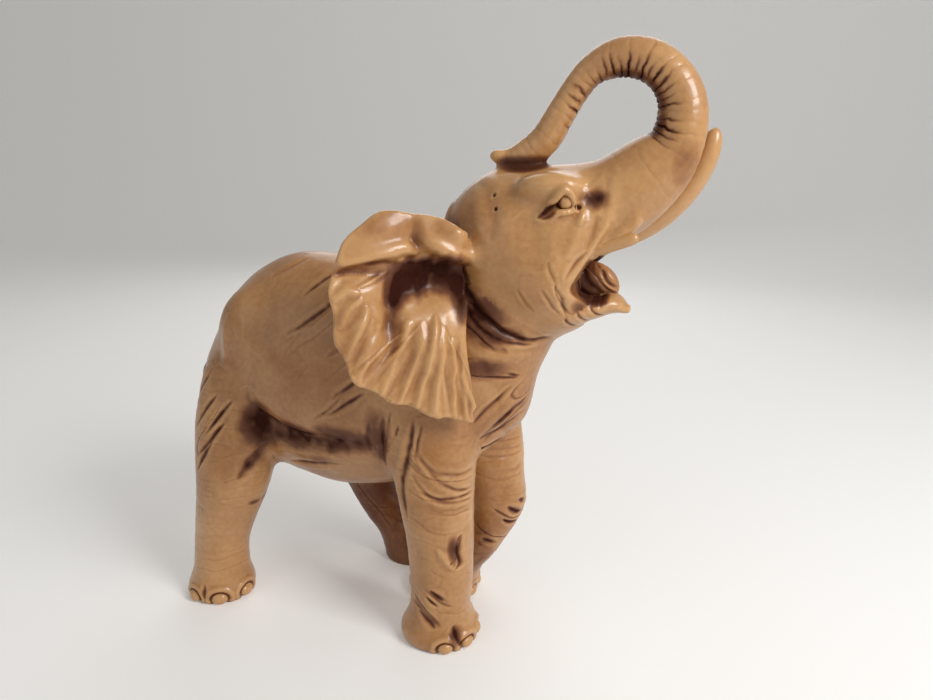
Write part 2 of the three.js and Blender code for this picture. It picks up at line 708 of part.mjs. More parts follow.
const elephant = new THREE.Group();
elephant.name = "elephant_figurine";
for (const [name, solid] of Object.entries(pieces)) {
  elephant.add(meshOf(name, solid.translate(centring)));
}

export default elephant;
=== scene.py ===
"""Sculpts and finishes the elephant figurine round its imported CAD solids, for Blender 4.5.

The casting is shaped as one clay body from lofts, tubes and shells, skinned, parted at its glued
seams into one piece per node, and then engraved, stained and lacquered. Work is in millimetres from
the same setting-out point as the solids, and each finished mesh is placed in metres.
"""

from __future__ import annotations

import logging
import math
from collections.abc import Callable, Sequence
from dataclasses import dataclass, field
from enum import Enum

import bmesh
import bpy
import numpy as np
from bpy.types import Material, Mesh, Node, NodeSocket, NodeTree, Object
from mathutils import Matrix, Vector

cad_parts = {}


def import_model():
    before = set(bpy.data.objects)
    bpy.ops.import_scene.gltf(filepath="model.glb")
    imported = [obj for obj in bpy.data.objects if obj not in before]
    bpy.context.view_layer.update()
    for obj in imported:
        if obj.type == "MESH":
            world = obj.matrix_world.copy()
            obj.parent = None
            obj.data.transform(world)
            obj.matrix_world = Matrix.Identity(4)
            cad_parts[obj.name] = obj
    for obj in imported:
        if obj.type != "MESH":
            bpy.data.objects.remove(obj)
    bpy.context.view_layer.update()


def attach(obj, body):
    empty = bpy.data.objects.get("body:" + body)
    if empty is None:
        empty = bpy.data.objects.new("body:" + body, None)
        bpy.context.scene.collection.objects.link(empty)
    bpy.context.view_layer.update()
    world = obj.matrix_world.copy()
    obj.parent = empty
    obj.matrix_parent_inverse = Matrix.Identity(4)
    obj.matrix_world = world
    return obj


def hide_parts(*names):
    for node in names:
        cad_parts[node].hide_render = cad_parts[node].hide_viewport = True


LOG = logging.getLogger("elephant")
MM = 0.001
SETTING_OUT = 40.25  # from the setting-out point forward to the row's origin, in mm
FAR = 60.0  # distance that stands for empty space, in mm
NEAR = 8.0  # how far round a tube its distance is measured, in mm
CELL, QUICK_CELL = 0.85, 1.3  # grid step of the clay in mm
CLAY_BOX = ((-84, -72, -3), (168, 72, 258))  # lowest and highest corner of the clay in mm

Array = np.ndarray
Distance = Callable[[Array, Array, Array], Array]
Point = tuple[float, float, float]


class Side(Enum):
    """A side of the elephant, as the sign of Y."""

    RIGHT = -1
    LEFT = 1


def smooth(t: Array | float) -> Array:
    """Eases t from 0 to 1.

    Args:
        t: share, clipped to 0 and 1.

    Returns:
        The eased share.
    """
    t = np.clip(t, 0.0, 1.0)
    return t * t * (3 - 2 * t)


def mix(a: float, b: float, t: float) -> float:
    """Returns the value a share t of the way from a to b."""
    return a + (b - a) * t


def along(values: Array, t: Array) -> Array:
    """Follows a smooth curve through evenly spaced rows of values.

    Args:
        values: rows of values.
        t: places from 0 to 1.

    Returns:
        One row for each place.
    """
    values = np.asarray(values, float)
    last = len(values) - 1
    place = np.clip(t, 0, 1) * last
    i = np.minimum(place.astype(int), last - 1)
    f = (place - i)[:, None]
    a, b = values[i], values[i + 1]
    slope_in = (b - values[np.maximum(i - 1, 0)]) / 2
    slope_out = (values[np.minimum(i + 2, last)] - a) / 2
    turn = f * f * (3 - 2 * f)
    return a + (b - a) * turn + f * (1 - f) * (slope_in * (1 - f) - slope_out * f)


def unit(v: Array) -> Array:
    """Returns vectors scaled to length one."""
    return v / np.maximum(np.linalg.norm(v, axis=-1, keepdims=True), 1e-9)


# Shapes that the clay is built from


@dataclass
class Loft:
    """A limb or barrel of oval sections that stand square to one axis.

    Attributes:
        axis: 0 for sections along X, 2 for sections along Z.
        rows: per section its place on the axis, its middle across (Y) and on the third axis, its
            half width, and its half depths toward + and -.
        domes: depth of the rounded start and end.
    """

    axis: int
    rows: Sequence[Sequence[float]]
    domes: tuple[float, float]

    def __post_init__(self) -> None:
        """Samples the sections finely, in rising order."""
        fine = along(np.array(self.rows, float), np.linspace(0, 1, 200))
        domes = self.domes
        if fine[0, 0] > fine[-1, 0]:
            fine, domes = fine[::-1], domes[::-1]
        self.fine, self.ends = fine, domes

    def box(self, margin: float) -> tuple[Array, Array]:
        """Gives the box that holds the loft.

        Args:
            margin: room left all round.

        Returns:
            The lowest and highest corner.
        """
        u, y, w, wide, high, low = self.fine.T
        spans = [
            (u[0] - self.ends[0], u[-1] + self.ends[1]),
            ((y - wide).min(), (y + wide).max()),
            ((w - low).min(), (w + high).max()),
        ]
        order = [0, 1, 2] if self.axis == 0 else [2, 1, 0]
        box = np.array([spans[i] for i in order]).T
        return box[0] - margin, box[1] + margin

    def distance(self, x: Array, y: Array, z: Array) -> Array:
        """Measures how far points are from the surface, negative inside.

        Args:
            x: places along X.
            y: places along Y.
            z: places along Z.

        Returns:
            Distances in mm.
        """
        u, w = (x, z) if self.axis == 0 else (z, x)
        inner = np.clip(u, self.fine[0, 0], self.fine[-1, 0])
        mid_y, mid_w, wide, high, low = (
            np.interp(inner, self.fine[:, 0], self.fine[:, k]) for k in range(1, 6)
        )
        beyond = u - inner
        dome = np.where(beyond < 0, max(self.ends[0], 0.5), max(self.ends[1], 0.5))
        dy, dw = y - mid_y, w - mid_w
        deep = np.where(dw > 0, high, low)
        scaled = (dy / wide) ** 2 + (dw / deep) ** 2 + (beyond / dome) ** 2
        steep = (dy / wide**2) ** 2 + (dw / deep**2) ** 2 + (beyond / dome**2) ** 2
        reach = np.sqrt(scaled)
        return reach * (reach - 1) / np.maximum(np.sqrt(steep), 1e-6)


@dataclass
class Tube:
    """A round tube along a row of points.

    Attributes:
        points: middle line.
        radii: radius at each point.
        samples: fine steps along the line.
    """

    points: Sequence[Point]
    radii: Sequence[float]
    samples: int = 60

    def __post_init__(self) -> None:
        """Samples the middle line finely."""
        rows = np.column_stack([np.array(self.points, float), np.array(self.radii, float)])
        self.fine = along(rows, np.linspace(0, 1, self.samples))

    def box(self, margin: float) -> tuple[Array, Array]:
        """Gives the box that holds the tube, with a margin."""
        middle, radius = self.fine[:, :3], self.fine[:, 3:]
        return (middle - radius).min(0) - margin, (middle + radius).max(0) + margin

    def distance(self, x: Array, y: Array, z: Array) -> Array:
        """Measures how far points are from the surface, negative inside.

        Args:
            x: places along X.
            y: places along Y.
            z: places along Z.

        Returns:
            Distances in mm.
        """
        nearest = np.full(np.broadcast_shapes(x.shape, y.shape, z.shape), FAR, np.float32)
        for start, stop in zip(self.fine[:-1], self.fine[1:]):
            a, ra, b, rb = start[:3], start[3], stop[:3], stop[3]
            room = max(ra, rb) + NEAR
            low, high = np.minimum(a, b) - room, np.maximum(a, b) + room
            cut = tuple(
                slice(*np.searchsorted(axis.ravel(), (low[i], high[i])))
                for i, axis in enumerate((x, y, z))
            )
            dx, dy, dz = x[cut[0]] - a[0], y[:, cut[1]] - a[1], z[:, :, cut[2]] - a[2]
            run = b - a
            size = max(float(run @ run), 1e-9)
            t = np.clip((dx * run[0] + dy * run[1] + dz * run[2]) / size, 0, 1)
            gap = np.sqrt((dx - t * run[0]) ** 2 + (dy - t * run[1]) ** 2 + (dz - t * run[2]) ** 2)
            part = nearest[cut]
            np.minimum(part, gap - (ra + (rb - ra) * t), out=part)
        return nearest


@dataclass
class Oval:
    """An ellipsoid, turned about Z.

    Attributes:
        middle: its middle.
        radii: half sizes along its own axes.
        turn: degrees about Z.
    """

    middle: Point
    radii: Point
    turn: float = 0.0

    def box(self, margin: float) -> tuple[Array, Array]:
        """Gives the box that holds the ellipsoid, with a margin."""
        reach = max(self.radii) + margin
        return np.array(self.middle) - reach, np.array(self.middle) + reach

    def distance(self, x: Array, y: Array, z: Array) -> Array:
        """Measures how far points are from the surface, negative inside."""
        c, s = math.cos(math.radians(self.turn)), math.sin(math.radians(self.turn))
        dx, dy, dz = x - self.middle[0], y - self.middle[1], z - self.middle[2]
        px, py = dx * c + dy * s, dy * c - dx * s
        a, b, h = self.radii
        reach = np.sqrt((px / a) ** 2 + (py / b) ** 2 + (dz / h) ** 2)
        steep = np.sqrt((px / a**2) ** 2 + (py / b**2) ** 2 + (dz / h**2) ** 2)
        return reach * (reach - 1) / np.maximum(steep, 1e-6)


@dataclass
class Wedge:
    """An open mouth right across the head, seen from the side.

    Attributes:
        corner: place of its corner along X and Z.
        radius: radius of the corner.
        rise: degrees above level of its upper edge.
        fall: degrees below level of its lower edge.
        reach: how far it is cut ahead of the corner.
    """

    corner: tuple[float, float]
    radius: float
    rise: float
    fall: float
    reach: float

    def box(self, margin: float) -> tuple[Array, Array]:
        """Gives the box that holds the wedge, with a margin."""
        x, z = self.corner
        low = np.array([x - margin, -FAR, z - self.reach])
        return low, np.array([x + self.reach, FAR, z + self.reach])

    def distance(self, x: Array, y: Array, z: Array) -> Array:
        """Measures how far points are from the surface, negative inside."""
        dx, dz = x - self.corner[0], z - self.corner[1]
        up, down = math.radians(self.rise), math.radians(self.fall)
        above = dz * math.cos(up) - dx * math.sin(up)
        below = -dz * math.cos(down) - dx * math.sin(down)
        flat = np.maximum(above, below)
        round_corner = np.sqrt(np.maximum(above, 0) ** 2 + np.maximum(below, 0) ** 2)
        return np.where(flat > 0, round_corner, flat) - self.radius + 0 * y


@dataclass
class EarShell:
    """A fluted shell on a polar net round the ear's root.

    Attributes:
        side: side of the head.
        root: middle of the net, on the right side.
        drop: reach down to the lowest lobe.
        width: reach back to the rim.
        rise: reach up to the folded top edge.
        first: degrees from straight down of the front edge at the rim.
        last: degrees from straight down of the top edge.
        bow: degrees that the front edge swings ahead beside the root.
        thickness: thickness beside the root.
        flare: degrees that the ear stands off the head.
        tilt: degrees that its lower lobe swings out.
        fold: how far the top edge folds forward.
        flutes: number of flutes.
        flute_depth: depth of the flutes.
        scallop: how far the rim's lobes stand out.
        swells: soft forms, each a place back and up from the root, a size both ways and a height.
    """

    side: Side
    root: Point = (70.2, -24.6, 162.5)
    drop: float = 54.0
    width: float = 53.0
    rise: float = 40.0
    first: float = -7.0
    last: float = 166.0
    bow: float = 9.0
    thickness: float = 3.6
    flare: float = 42.0
    tilt: float = 14.0
    fold: float = 4.5
    flutes: int = 9
    flute_depth: float = 0.5
    scallop: float = 0.7
    swells: tuple[tuple[float, ...], ...] = (
        (38, 20, 13, 9, 4.2),
        (9, 17, 10, 7, 5.5),
        (0, 15, 5.5, 10, -4.5),
        (24.5, 20, 3.6, 9, -2.0),
        (15, 0, 17, 9, -6.5),
        (30.5, -13, 4.5, 13, -3.2),
        (13, -25, 8, 13, 3.6),
        (43, -10, 7, 14, 1.8),
        (46, 5.6, 11, 2.2, -1.8),
    )

    def __post_init__(self) -> None:
        """Works out the ear's own axes."""
        flare, tilt, side = math.radians(self.flare), math.radians(self.tilt), self.side.value
        back = np.array([-math.cos(flare), side * math.sin(flare), 0])
        up = np.array([0, -side * math.sin(tilt), math.cos(tilt)])
        front = np.array(
            [math.sin(flare), side * math.cos(flare), math.sin(tilt) * math.cos(flare)]
        )
        self.axes = np.stack([back, up, unit(front)], 1)
        self.place = np.array([self.root[0], -side * self.root[1], self.root[2]])
        self.reaches = [self.drop * share for share in (1.055, 1.0, 0.963, 0.98, 1.025, 1.015)]
        self.reaches += [self.width * share for share in (1.027, 1.036, 1.013, 0.93)]
        self.reaches += [self.rise * share for share in (0.9, 0.64, 0.46)]

    def local(self, points: Array) -> Array:
        """Turns points into the ear's own axes: back, up and front."""
        return (points - self.place) @ np.linalg.inv(self.axes).T

    def world(self, points: Array) -> Array:
        """Turns points in the ear's own axes into places on the elephant."""
        return np.asarray(points, float) @ self.axes.T + self.place

    def height(self, share: Array, out: Array, back: Array, up: Array) -> Array:
        """Shapes the shell.

        Args:
            share: share of the way round, from the front edge to the top edge.
            out: share of the way from the root to the rim.
            back: places back from the root in mm.
            up: places up from the root in mm.

        Returns:
            How far the middle of the shell stands in front of the ear's plane.
        """
        edge = smooth((out - 0.2) / 0.7)
        turn = 2 * np.pi * self.flutes * (share + 0.02 * np.sin(11 * share + 1))
        level = self.flute_depth * edge * np.cos(turn) * (1 - smooth((share - 0.66) / 0.15))
        level = level + self.fold * smooth((share - 0.72) / 0.2) * edge
        for b, u, wide, high, rise in self.swells:
            level = level + rise * np.exp(-(((back - b) / wide) ** 2) - ((up - u) / high) ** 2)
        return level

    def box(self, margin: float) -> tuple[Array, Array]:
        """Gives the box that holds the shell, with a margin."""
        reach = self.drop + 4
        spans = ((-8, self.width + 6), (-reach, self.rise + 6), (-9, 10))
        places = self.world([(b, u, f) for b in spans[0] for u in spans[1] for f in spans[2]])
        return places.min(0) - margin, places.max(0) + margin

    def distance(self, x: Array, y: Array, z: Array) -> Array:
        """Measures how far points are from the surface, negative inside."""
        inverse = np.linalg.inv(self.axes)
        dx, dy, dz = x - self.place[0], y - self.place[1], z - self.place[2]
        back, up, front = (row[0] * dx + row[1] * dy + row[2] * dz for row in inverse)
        angle = np.degrees(np.arctan2(back, -up))
        away = np.sqrt(back**2 + up**2)
        first = self.first + self.bow * np.clip(1 - away / self.drop, 0, 1)
        share = (angle - first) / (self.last - first)
        inner = np.clip(share, 0, 1)
        turns = np.linspace(0, 1, 200)
        reach = np.interp(inner, turns, along(np.array(self.reaches)[:, None], turns)[:, 0])
        reach = reach + self.scallop * np.cos(2 * np.pi * self.flutes * inner)
        out = np.minimum(away / reach, 1.1)
        half = self.thickness / 2 * (1 - 0.42 * out**2)
        round_edge = 0.9
        beyond_turn = np.maximum(-share, share - 1) * math.radians(self.last - self.first) * away
        edge = np.maximum(away - reach, beyond_turn) + round_edge
        across = np.abs(front - self.height(inner, out, back, up)) * 0.88 - half + round_edge
        both = np.sqrt(np.maximum(edge, 0) ** 2 + np.maximum(across, 0) ** 2)
        return both + np.minimum(np.maximum(edge, across), 0) - round_edge


class Clay:
    """The whole casting as signed distances on a grid, with the piece that each place belongs to."""

    def __init__(self, low: Point, high: Point, cell: float) -> None:
        """Makes an empty grid.

        Args:
            low: lowest corner in mm.
            high: highest corner in mm.
            cell: grid step in mm.
        """
        self.cell = cell
        self.low = np.array(low, float)
        count = np.ceil((np.array(high) - self.low) / cell).astype(int) + 1
        self.reach = np.full(count, FAR, np.float32)
        self.nearest = np.full(count, FAR, np.float32)
        self.owner = np.zeros(count, np.uint8)
        self.names: list[str] = []
        self.bare = 14.0  # height under which nothing is blended, because the feet stand apart

    def level(self) -> None:
        """Cuts the soles level with the floor."""
        heights = self.low[2] + self.cell * np.arange(self.reach.shape[2])
        self.reach = np.maximum(self.reach, -heights.astype(np.float32))

    def window(self, low: Array, high: Array) -> tuple[tuple[slice, ...], list[Array]]:
        """Finds the part of the grid inside a box.

        Args:
            low: lowest corner.
            high: highest corner.

        Returns:
            Slices of the grid and the places along each axis, shaped to combine.
        """
        first = np.clip(np.floor((low - self.low) / self.cell).astype(int), 0, self.reach.shape)
        last = np.clip(np.ceil((high - self.low) / self.cell).astype(int) + 1, 0, self.reach.shape)
        slices = tuple(slice(a, b) for a, b in zip(first, last))
        axes = []
        for i in range(3):
            shape = [1, 1, 1]
            shape[i] = -1
            places = self.low[i] + self.cell * np.arange(first[i], last[i])
            axes.append(places.reshape(shape).astype(np.float32))
        return slices, axes

    def add(self, name: str, box: tuple[Array, Array], distance: Distance, blend: float) -> None:
        """Adds a shape, blended into what is there.

        Args:
            name: piece that the shape belongs to.
            box: box that holds the shape and its blend.
            distance: signed distance of the shape.
            blend: width of the fillet in mm.
        """
        if name not in self.names:
            self.names.append(name)
        number = self.names.index(name)
        slices, axes = self.window(*box)
        new = distance(*axes).astype(np.float32)
        old = self.reach[slices]
        fillet = np.maximum(blend * smooth((axes[2] - self.bare) / 30), 0.01)
        overlap = np.maximum(fillet - np.abs(old - new), 0) / fillet
        self.reach[slices] = np.minimum(old, new) - overlap * overlap * fillet / 4
        nearest = self.nearest[slices]
        closer = new < nearest
        self.owner[slices][closer] = number
        nearest[closer] = new[closer]

    def put(self, name: str, shape: Loft | Tube | Oval, blend: float) -> None:
        """Adds a shape that knows its own box."""
        self.add(name, shape.box(blend + 6), shape.distance, blend)

    def carve(self, shape: Wedge | Oval | Tube, blend: float) -> None:
        """Cuts a shape out of the clay.

        Args:
            shape: the shape.
            blend: rounding of the edges in mm.
        """
        slices, axes = self.window(*shape.box(blend + 4))
        cut = -shape.distance(*axes).astype(np.float32)
        old = self.reach[slices]
        overlap = np.maximum(blend - np.abs(old - cut), 0) / blend
        self.reach[slices] = np.maximum(old, cut) + overlap * overlap * blend / 4
        raw = self.nearest[slices]
        np.maximum(raw, cut, out=raw)

    def skin(self) -> tuple[Array, Array, Array]:
        """Lays a skin of quads over the clay.

        Returns:
            Points in mm, quads, and the number of the piece that owns each quad.
        """
        reach = self.reach
        inside = reach < 0
        filled = np.zeros([n - 1 for n in reach.shape], np.uint8)
        corners = [(i, j, k) for i in (0, 1) for j in (0, 1) for k in (0, 1)]
        for i, j, k in corners:
            filled += inside[i : i + filled.shape[0], j : j + filled.shape[1], k : k + filled.shape[2]]
        active = (filled > 0) & (filled < 8)
        cells = np.argwhere(active)
        number = np.full(active.shape, -1, np.int32)
        number[active] = np.arange(len(cells))
        at = np.array([reach[tuple((cells + corner).T)] for corner in corners])
        total, hits = np.zeros((len(cells), 3)), np.zeros(len(cells))
        for a, ca in enumerate(corners):
            for b, cb in enumerate(corners[a + 1 :], a + 1):
                if sum(abs(p - q) for p, q in zip(ca, cb)) != 1:
                    continue
                cross = (at[a] < 0) != (at[b] < 0)
                t = (at[a] / np.where(cross, at[a] - at[b], 1))[:, None]
                place = np.array(ca) + t * (np.array(cb) - np.array(ca))
                total += np.where(cross[:, None], place, 0)
                hits += cross
        points = self.low + (cells + total / hits[:, None]) * self.cell
        quads, owners = [], []
        for axis in range(3):
            lower = [slice(1, n - 1) for n in reach.shape]
            upper = list(lower)
            lower[axis], upper[axis] = slice(0, -1), slice(1, None)
            start, end = inside[tuple(lower)], inside[tuple(upper)]
            places = np.argwhere(start != end)
            outward = start[tuple(places.T)]
            base = places + 1
            base[:, axis] -= 1
            u, v = (axis + 1) % 3, (axis + 2) % 3
            ring = []
            for du, dv in ((0, 0), (1, 0), (1, 1), (0, 1)):
                cell = base.copy()
                cell[:, u] -= du
                cell[:, v] -= dv
                ring.append(number[tuple(cell.T)])
            quad = np.stack(ring, 1)
            quad[~outward] = quad[~outward][:, ::-1]
            quads.append(quad)
            owners.append(self.owner[tuple(base.T)])
        return points, np.concatenate(quads), np.concatenate(owners)


# The skin, parted at its seams


def edge_list(quads: Array) -> tuple[Array, Array, Array]:
    """Finds the edges of a mesh of quads.

    Args:
        quads: corners of each quad.

    Returns:
        The edges, the edge on each side of each quad, and how many quads share each edge.
    """
    pairs = np.stack([quads, np.roll(quads, -1, axis=1)], 2).reshape(-1, 2)
    low, high = pairs.min(1).astype(np.int64), pairs.max(1).astype(np.int64)
    span = int(quads.max()) + 1
    codes, sides, shared = np.unique(low * span + high, return_inverse=True, return_counts=True)
    return np.stack([codes // span, codes % span], 1), sides.reshape(-1, 4), shared


def quad_normals(points: Array, quads: Array) -> Array:
    """Gives each quad's normal, as long as twice its area."""
    corner = points[quads]
    return np.cross(corner[:, 2] - corner[:, 0], corner[:, 3] - corner[:, 1])


def gather(count: int, where: Array, values: Array) -> Array:
    """Adds up vectors by index.

    Args:
        count: number of sums.
        where: index of each vector.
        values: vectors.

    Returns:
        One sum for each index.
    """
    return np.stack([np.bincount(where, values[:, k], count) for k in range(values.shape[1])], 1)


def averager(quads: Array, count: int) -> Callable[[Array], Array]:
    """Makes a function that averages values over each point's neighbours.

    Args:
        quads: corners of each quad.
        count: number of points.

    Returns:
        The function.
    """
    edges, _, _ = edge_list(quads)
    ends, others = np.concatenate([edges, edges[:, ::-1]]).T
    degree = np.maximum(np.bincount(ends, minlength=count), 1)[:, None]
    return lambda values: gather(count, ends, values[others]) / degree


def relax(points: Array, quads: Array, rounds: int, held: Array | None = None) -> Array:
    """Evens a surface out without shrinking it.

    Args:
        points: places of the points.
        quads: corners of each quad.
        rounds: how often it is done.
        held: marks the points that stay.

    Returns:
        The new places.
    """
    average = averager(quads, len(points))
    points = points.copy()
    free = np.ones(len(points)) if held is None else (~held).astype(float)
    for _ in range(rounds):
        for share in (0.5, -0.52):
            points += (average(points) - points) * share * free[:, None]
    return points


@dataclass
class Hide:
    """The open skin of one piece.

    Attributes:
        name: node that the piece stands for.
        points: places in mm.
        quads: corners of each quad.
        keys: the two points of the whole skin that each point lies between.
        rim: marks the points on the seams.
        stain: depth of stain at each point, from 0 to 1, with painted shade laid into it in places.
        normals: direction out at each point.
    """

    name: str
    points: Array
    quads: Array
    keys: Array
    rim: Array
    stain: Array
    normals: Array = field(default_factory=lambda: np.zeros((0, 3)))

    def refine(self) -> None:
        """Splits each quad in four and evens the result out, with the seams kept."""
        edges, sides, shared = edge_list(self.quads)
        count, more = len(self.points), len(edges)
        a, b = edges.T
        middles = self.points[self.quads].mean(1)
        ring = count + sides
        centre = count + more + np.arange(len(self.quads))
        self.quads = np.concatenate(
            [np.stack([self.quads[:, i], ring[:, i], centre, ring[:, i - 1]], 1) for i in range(4)]
        )
        self.points = np.concatenate([self.points, (self.points[a] + self.points[b]) / 2, middles])
        self.keys = np.concatenate(
            [self.keys, np.stack([self.keys[a, 0], self.keys[b, 0]], 1), np.full((len(middles), 2), -1)]
        )
        self.rim = np.concatenate([self.rim, shared == 1, np.zeros(len(middles), bool)])
        self.stain = np.zeros(len(self.points))
        self.points = relax(self.points, self.quads, 2, self.rim)
        self.face_out()

    def face_out(self) -> None:
        """Works out the normals from the quads."""
        out = quad_normals(self.points, self.quads)
        corners = self.quads.ravel()
        self.normals = unit(gather(len(self.points), corners, np.repeat(out, 4, axis=0)))

    def wipe(self, stain: Array) -> None:
        """Leaves stain, and in places painted shade, of a given depth where there is less."""
        self.stain = np.maximum(self.stain, stain)

    def push(self, amount: Array) -> None:
        """Moves the points out along their normals, by an amount in mm."""
        self.points = self.points + self.normals * amount[:, None]


def steady_owners(quads: Array, owners: Array, count: int) -> Array:
    """Evens the seams out and gives small islands to the piece round them.

    Args:
        quads: corners of each quad.
        owners: piece of each quad.
        count: number of pieces.

    Returns:
        The piece of each quad.
    """
    _, sides, _ = edge_list(quads)
    order = np.argsort(sides.ravel(), kind="stable")
    faces = (order // 4).reshape(-1, 2) if len(order) == 2 * (sides.max() + 1) else None
    if faces is None:
        return owners
    a, b = faces.T
    owners = owners.astype(int)
    for _ in range(4):
        votes = np.zeros((len(quads), count), np.int16)
        np.add.at(votes, (np.arange(len(quads)), owners), 1)
        np.add.at(votes, (a, owners[b]), 1)
        np.add.at(votes, (b, owners[a]), 1)
        top = votes.argmax(1)
        own = votes[np.arange(len(quads)), owners]
        owners = np.where(votes.max(1) > own, top, owners)
    for _ in range(2):
        group = np.arange(len(quads))
        joined = owners[a] == owners[b]
        ja, jb = a[joined], b[joined]
        while True:
            least = np.minimum(group[ja], group[jb])
            new = group.copy()
            np.minimum.at(new, ja, least)
            np.minimum.at(new, jb, least)
            new = new[new]
            if (new == group).all():
                break
            group = new
        size = np.bincount(group, minlength=len(quads))[group]
        largest = np.zeros(count, int)
        np.maximum.at(largest, owners, size)
        island = size < largest[owners]
        for _ in range(200):
            edge_a, edge_b = island[a] & ~island[b], island[b] & ~island[a]
            if not (edge_a.any() or edge_b.any()):
                break
            owners[a[edge_a]] = owners[b[edge_a]]
            owners[b[edge_b]] = owners[a[edge_b]]
            island[a[edge_a]] = island[b[edge_b]] = False
    return owners


def slice_torso(
    points: Array, quads: Array, owners: Array, names: Sequence[str]
) -> tuple[Array, list[str]]:
    """Shares the torso's skin out over four slabs of about the same size.

    Args:
        points: places of the whole skin.
        quads: corners of each quad.
        owners: piece of each quad.
        names: names of the pieces.

    Returns:
        The piece of each quad, and the names of all pieces.
    """
    torso = owners == list(names).index("torso")
    middles = points[quads].mean(1)[:, 0]
    cuts = np.quantile(middles[torso], (0.25, 0.5, 0.75))
    slab = np.searchsorted(cuts, middles)
    sliced = np.where(torso & (slab > 0), len(names) - 1 + slab, owners)
    return sliced, [*names, *(f"torso_{number}" for number in range(2, len(cuts) + 2))]


def part_skin(points: Array, quads: Array, owners: Array, names: Sequence[str]) -> dict[str, Hide]:
    """Parts the skin into one open hide per piece.

    Args:
        points: places of the whole skin.
        quads: corners of each quad.
        owners: piece of each quad.
        names: names of the pieces.

    Returns:
        The hides by name.
    """
    hides = {}
    for number, name in enumerate(names):
        own = quads[owners == number]
        used, corners = np.unique(own, return_inverse=True)
        corners = corners.reshape(-1, 4)
        edges, _, shared = edge_list(corners)
        rim = np.zeros(len(used), bool)
        rim[edges[shared == 1].ravel()] = True
        keys = np.stack([used, used], 1)
        hides[name] = Hide(name, points[used], corners, keys, rim, np.zeros(len(used)))
        hides[name].face_out()
    return hides


def match_seams(hides: Sequence[Hide]) -> None:
    """Gives the hides the same places, normals and stain along their seams.

    Args:
        hides: all hides of the skin.
    """
    count = max(int(hide.keys.max()) for hide in hides) + 1
    totals, places, hits = np.zeros((count, 3)), np.zeros((count, 4)), np.zeros(count)
    for hide in hides:
        corner = hide.rim & (hide.keys[:, 0] == hide.keys[:, 1])
        ids = hide.keys[corner, 0]
        raw = quad_normals(hide.points, hide.quads)
        out = gather(len(hide.points), hide.quads.ravel(), np.repeat(raw, 4, axis=0))
        np.add.at(totals, ids, unit(out[corner]))
        np.add.at(places, ids, np.column_stack([hide.points[corner], hide.stain[corner]]))
        np.add.at(hits, ids, 1)
    normals = unit(totals)
    places /= np.maximum(hits, 1)[:, None]
    for hide in hides:
        hide.face_out()
        a, b = hide.keys[hide.rim].T
        hide.points[hide.rim] = (places[a, :3] + places[b, :3]) / 2
        hide.stain[hide.rim] = (places[a, 3] + places[b, 3]) / 2
        hide.normals[hide.rim] = unit(normals[a] + normals[b])


def rim_loops(quads: Array) -> list[list[int]]:
    """Follows the open edges of a mesh.

    Args:
        quads: corners of each quad.

    Returns:
        Rings of points, each turning the way that a cap over it needs.
    """
    pairs = np.stack([quads, np.roll(quads, -1, axis=1)], 2).reshape(-1, 2)
    _, sides, shared = edge_list(quads)
    open_pairs = pairs[shared[sides.ravel()] == 1]
    after: dict[int, list[int]] = {}
    for a, b in open_pairs.tolist():
        after.setdefault(b, []).append(a)
    loops = []
    while after:
        start = next(iter(after))
        loop, at = [], start
        while at in after:
            loop.append(at)
            following = after[at].pop()
            if not after[at]:
                del after[at]
            at = following
        loops.append(loop)
    return loops


def close(hide: Hide, sink: float = 1.0) -> tuple[Array, list[list[int]]]:
    """Closes a hide with a fan of hidden faces inside each seam.

    Args:
        hide: the hide.
        sink: how far each fan's middle is drawn into the piece, in mm.

    Returns:
        The points with the fans' middles, and the triangles of the fans.
    """
    points, faces = [hide.points], []
    number = len(hide.points)
    for loop in rim_loops(hide.quads):
        ring = hide.points[loop]
        outward = unit(np.cross(ring, np.roll(ring, -1, axis=0)).sum(0))
        points.append((ring.mean(0) - outward * sink)[None])
        faces += [[a, b, number] for a, b in zip(loop, loop[1:] + loop[:1])]
        number += 1
    return np.concatenate(points), faces


# Skin marks


def lattice_noise(points: Array, seed: int) -> Array:
    """Gives smooth noise in space.

    Args:
        points: places, in units of one ripple.
        seed: picks the pattern.

    Returns:
        Values from about -1 to 1.
    """
    base = np.floor(points).astype(np.int64)
    part = points - base
    part = part * part * (3 - 2 * part)
    total = np.zeros(len(points))
    for corner in ((i, j, k) for i in (0, 1) for j in (0, 1) for k in (0, 1)):
        x, y, z = (base + corner).T
        mixed = (x * 73856093) ^ (y * 19349663) ^ (z * 83492791) ^ (seed * 2654435761)
        mixed = (mixed ^ (mixed >> 13)) * 1274126177 & 0x7FFFFFFF
        value = (mixed ^ (mixed >> 16)) % 65536 / 32768 - 1
        weight = np.prod(np.where(corner, part, 1 - part), axis=1)
        total += value * weight
    return total


def wrinkles(points: Array, spacing: Point, seed: int) -> Array:
    """Gives a net of fine creases.

    Args:
        points: places in mm.
        spacing: size of one cell of the net along X, Y and Z.
        seed: picks the pattern.

    Returns:
        1 in the creases, falling to 0 beside them.
    """
    cells = points / np.array(spacing)
    bent = cells + 0.35 * np.stack([lattice_noise(cells * 1.7, seed + k) for k in range(3)], 1)
    return np.clip(1 - 3.2 * np.abs(lattice_noise(bent, seed + 7)), 0, 1) ** 1.5


@dataclass(frozen=True)
class Fold:
    """A crease pressed into the skin.

    Attributes:
        line: places that it runs through, on its plane.
        width: half width in mm.
        depth: depth in mm; a ridge where it is negative.
        stain: how dark the stain lies in it.
        lip: swelling beside it, as a share of its depth.
    """

    line: tuple[tuple[float, float], ...]
    width: float = 1.1
    depth: float = 0.7
    stain: float = 0.6
    lip: float = 0.3


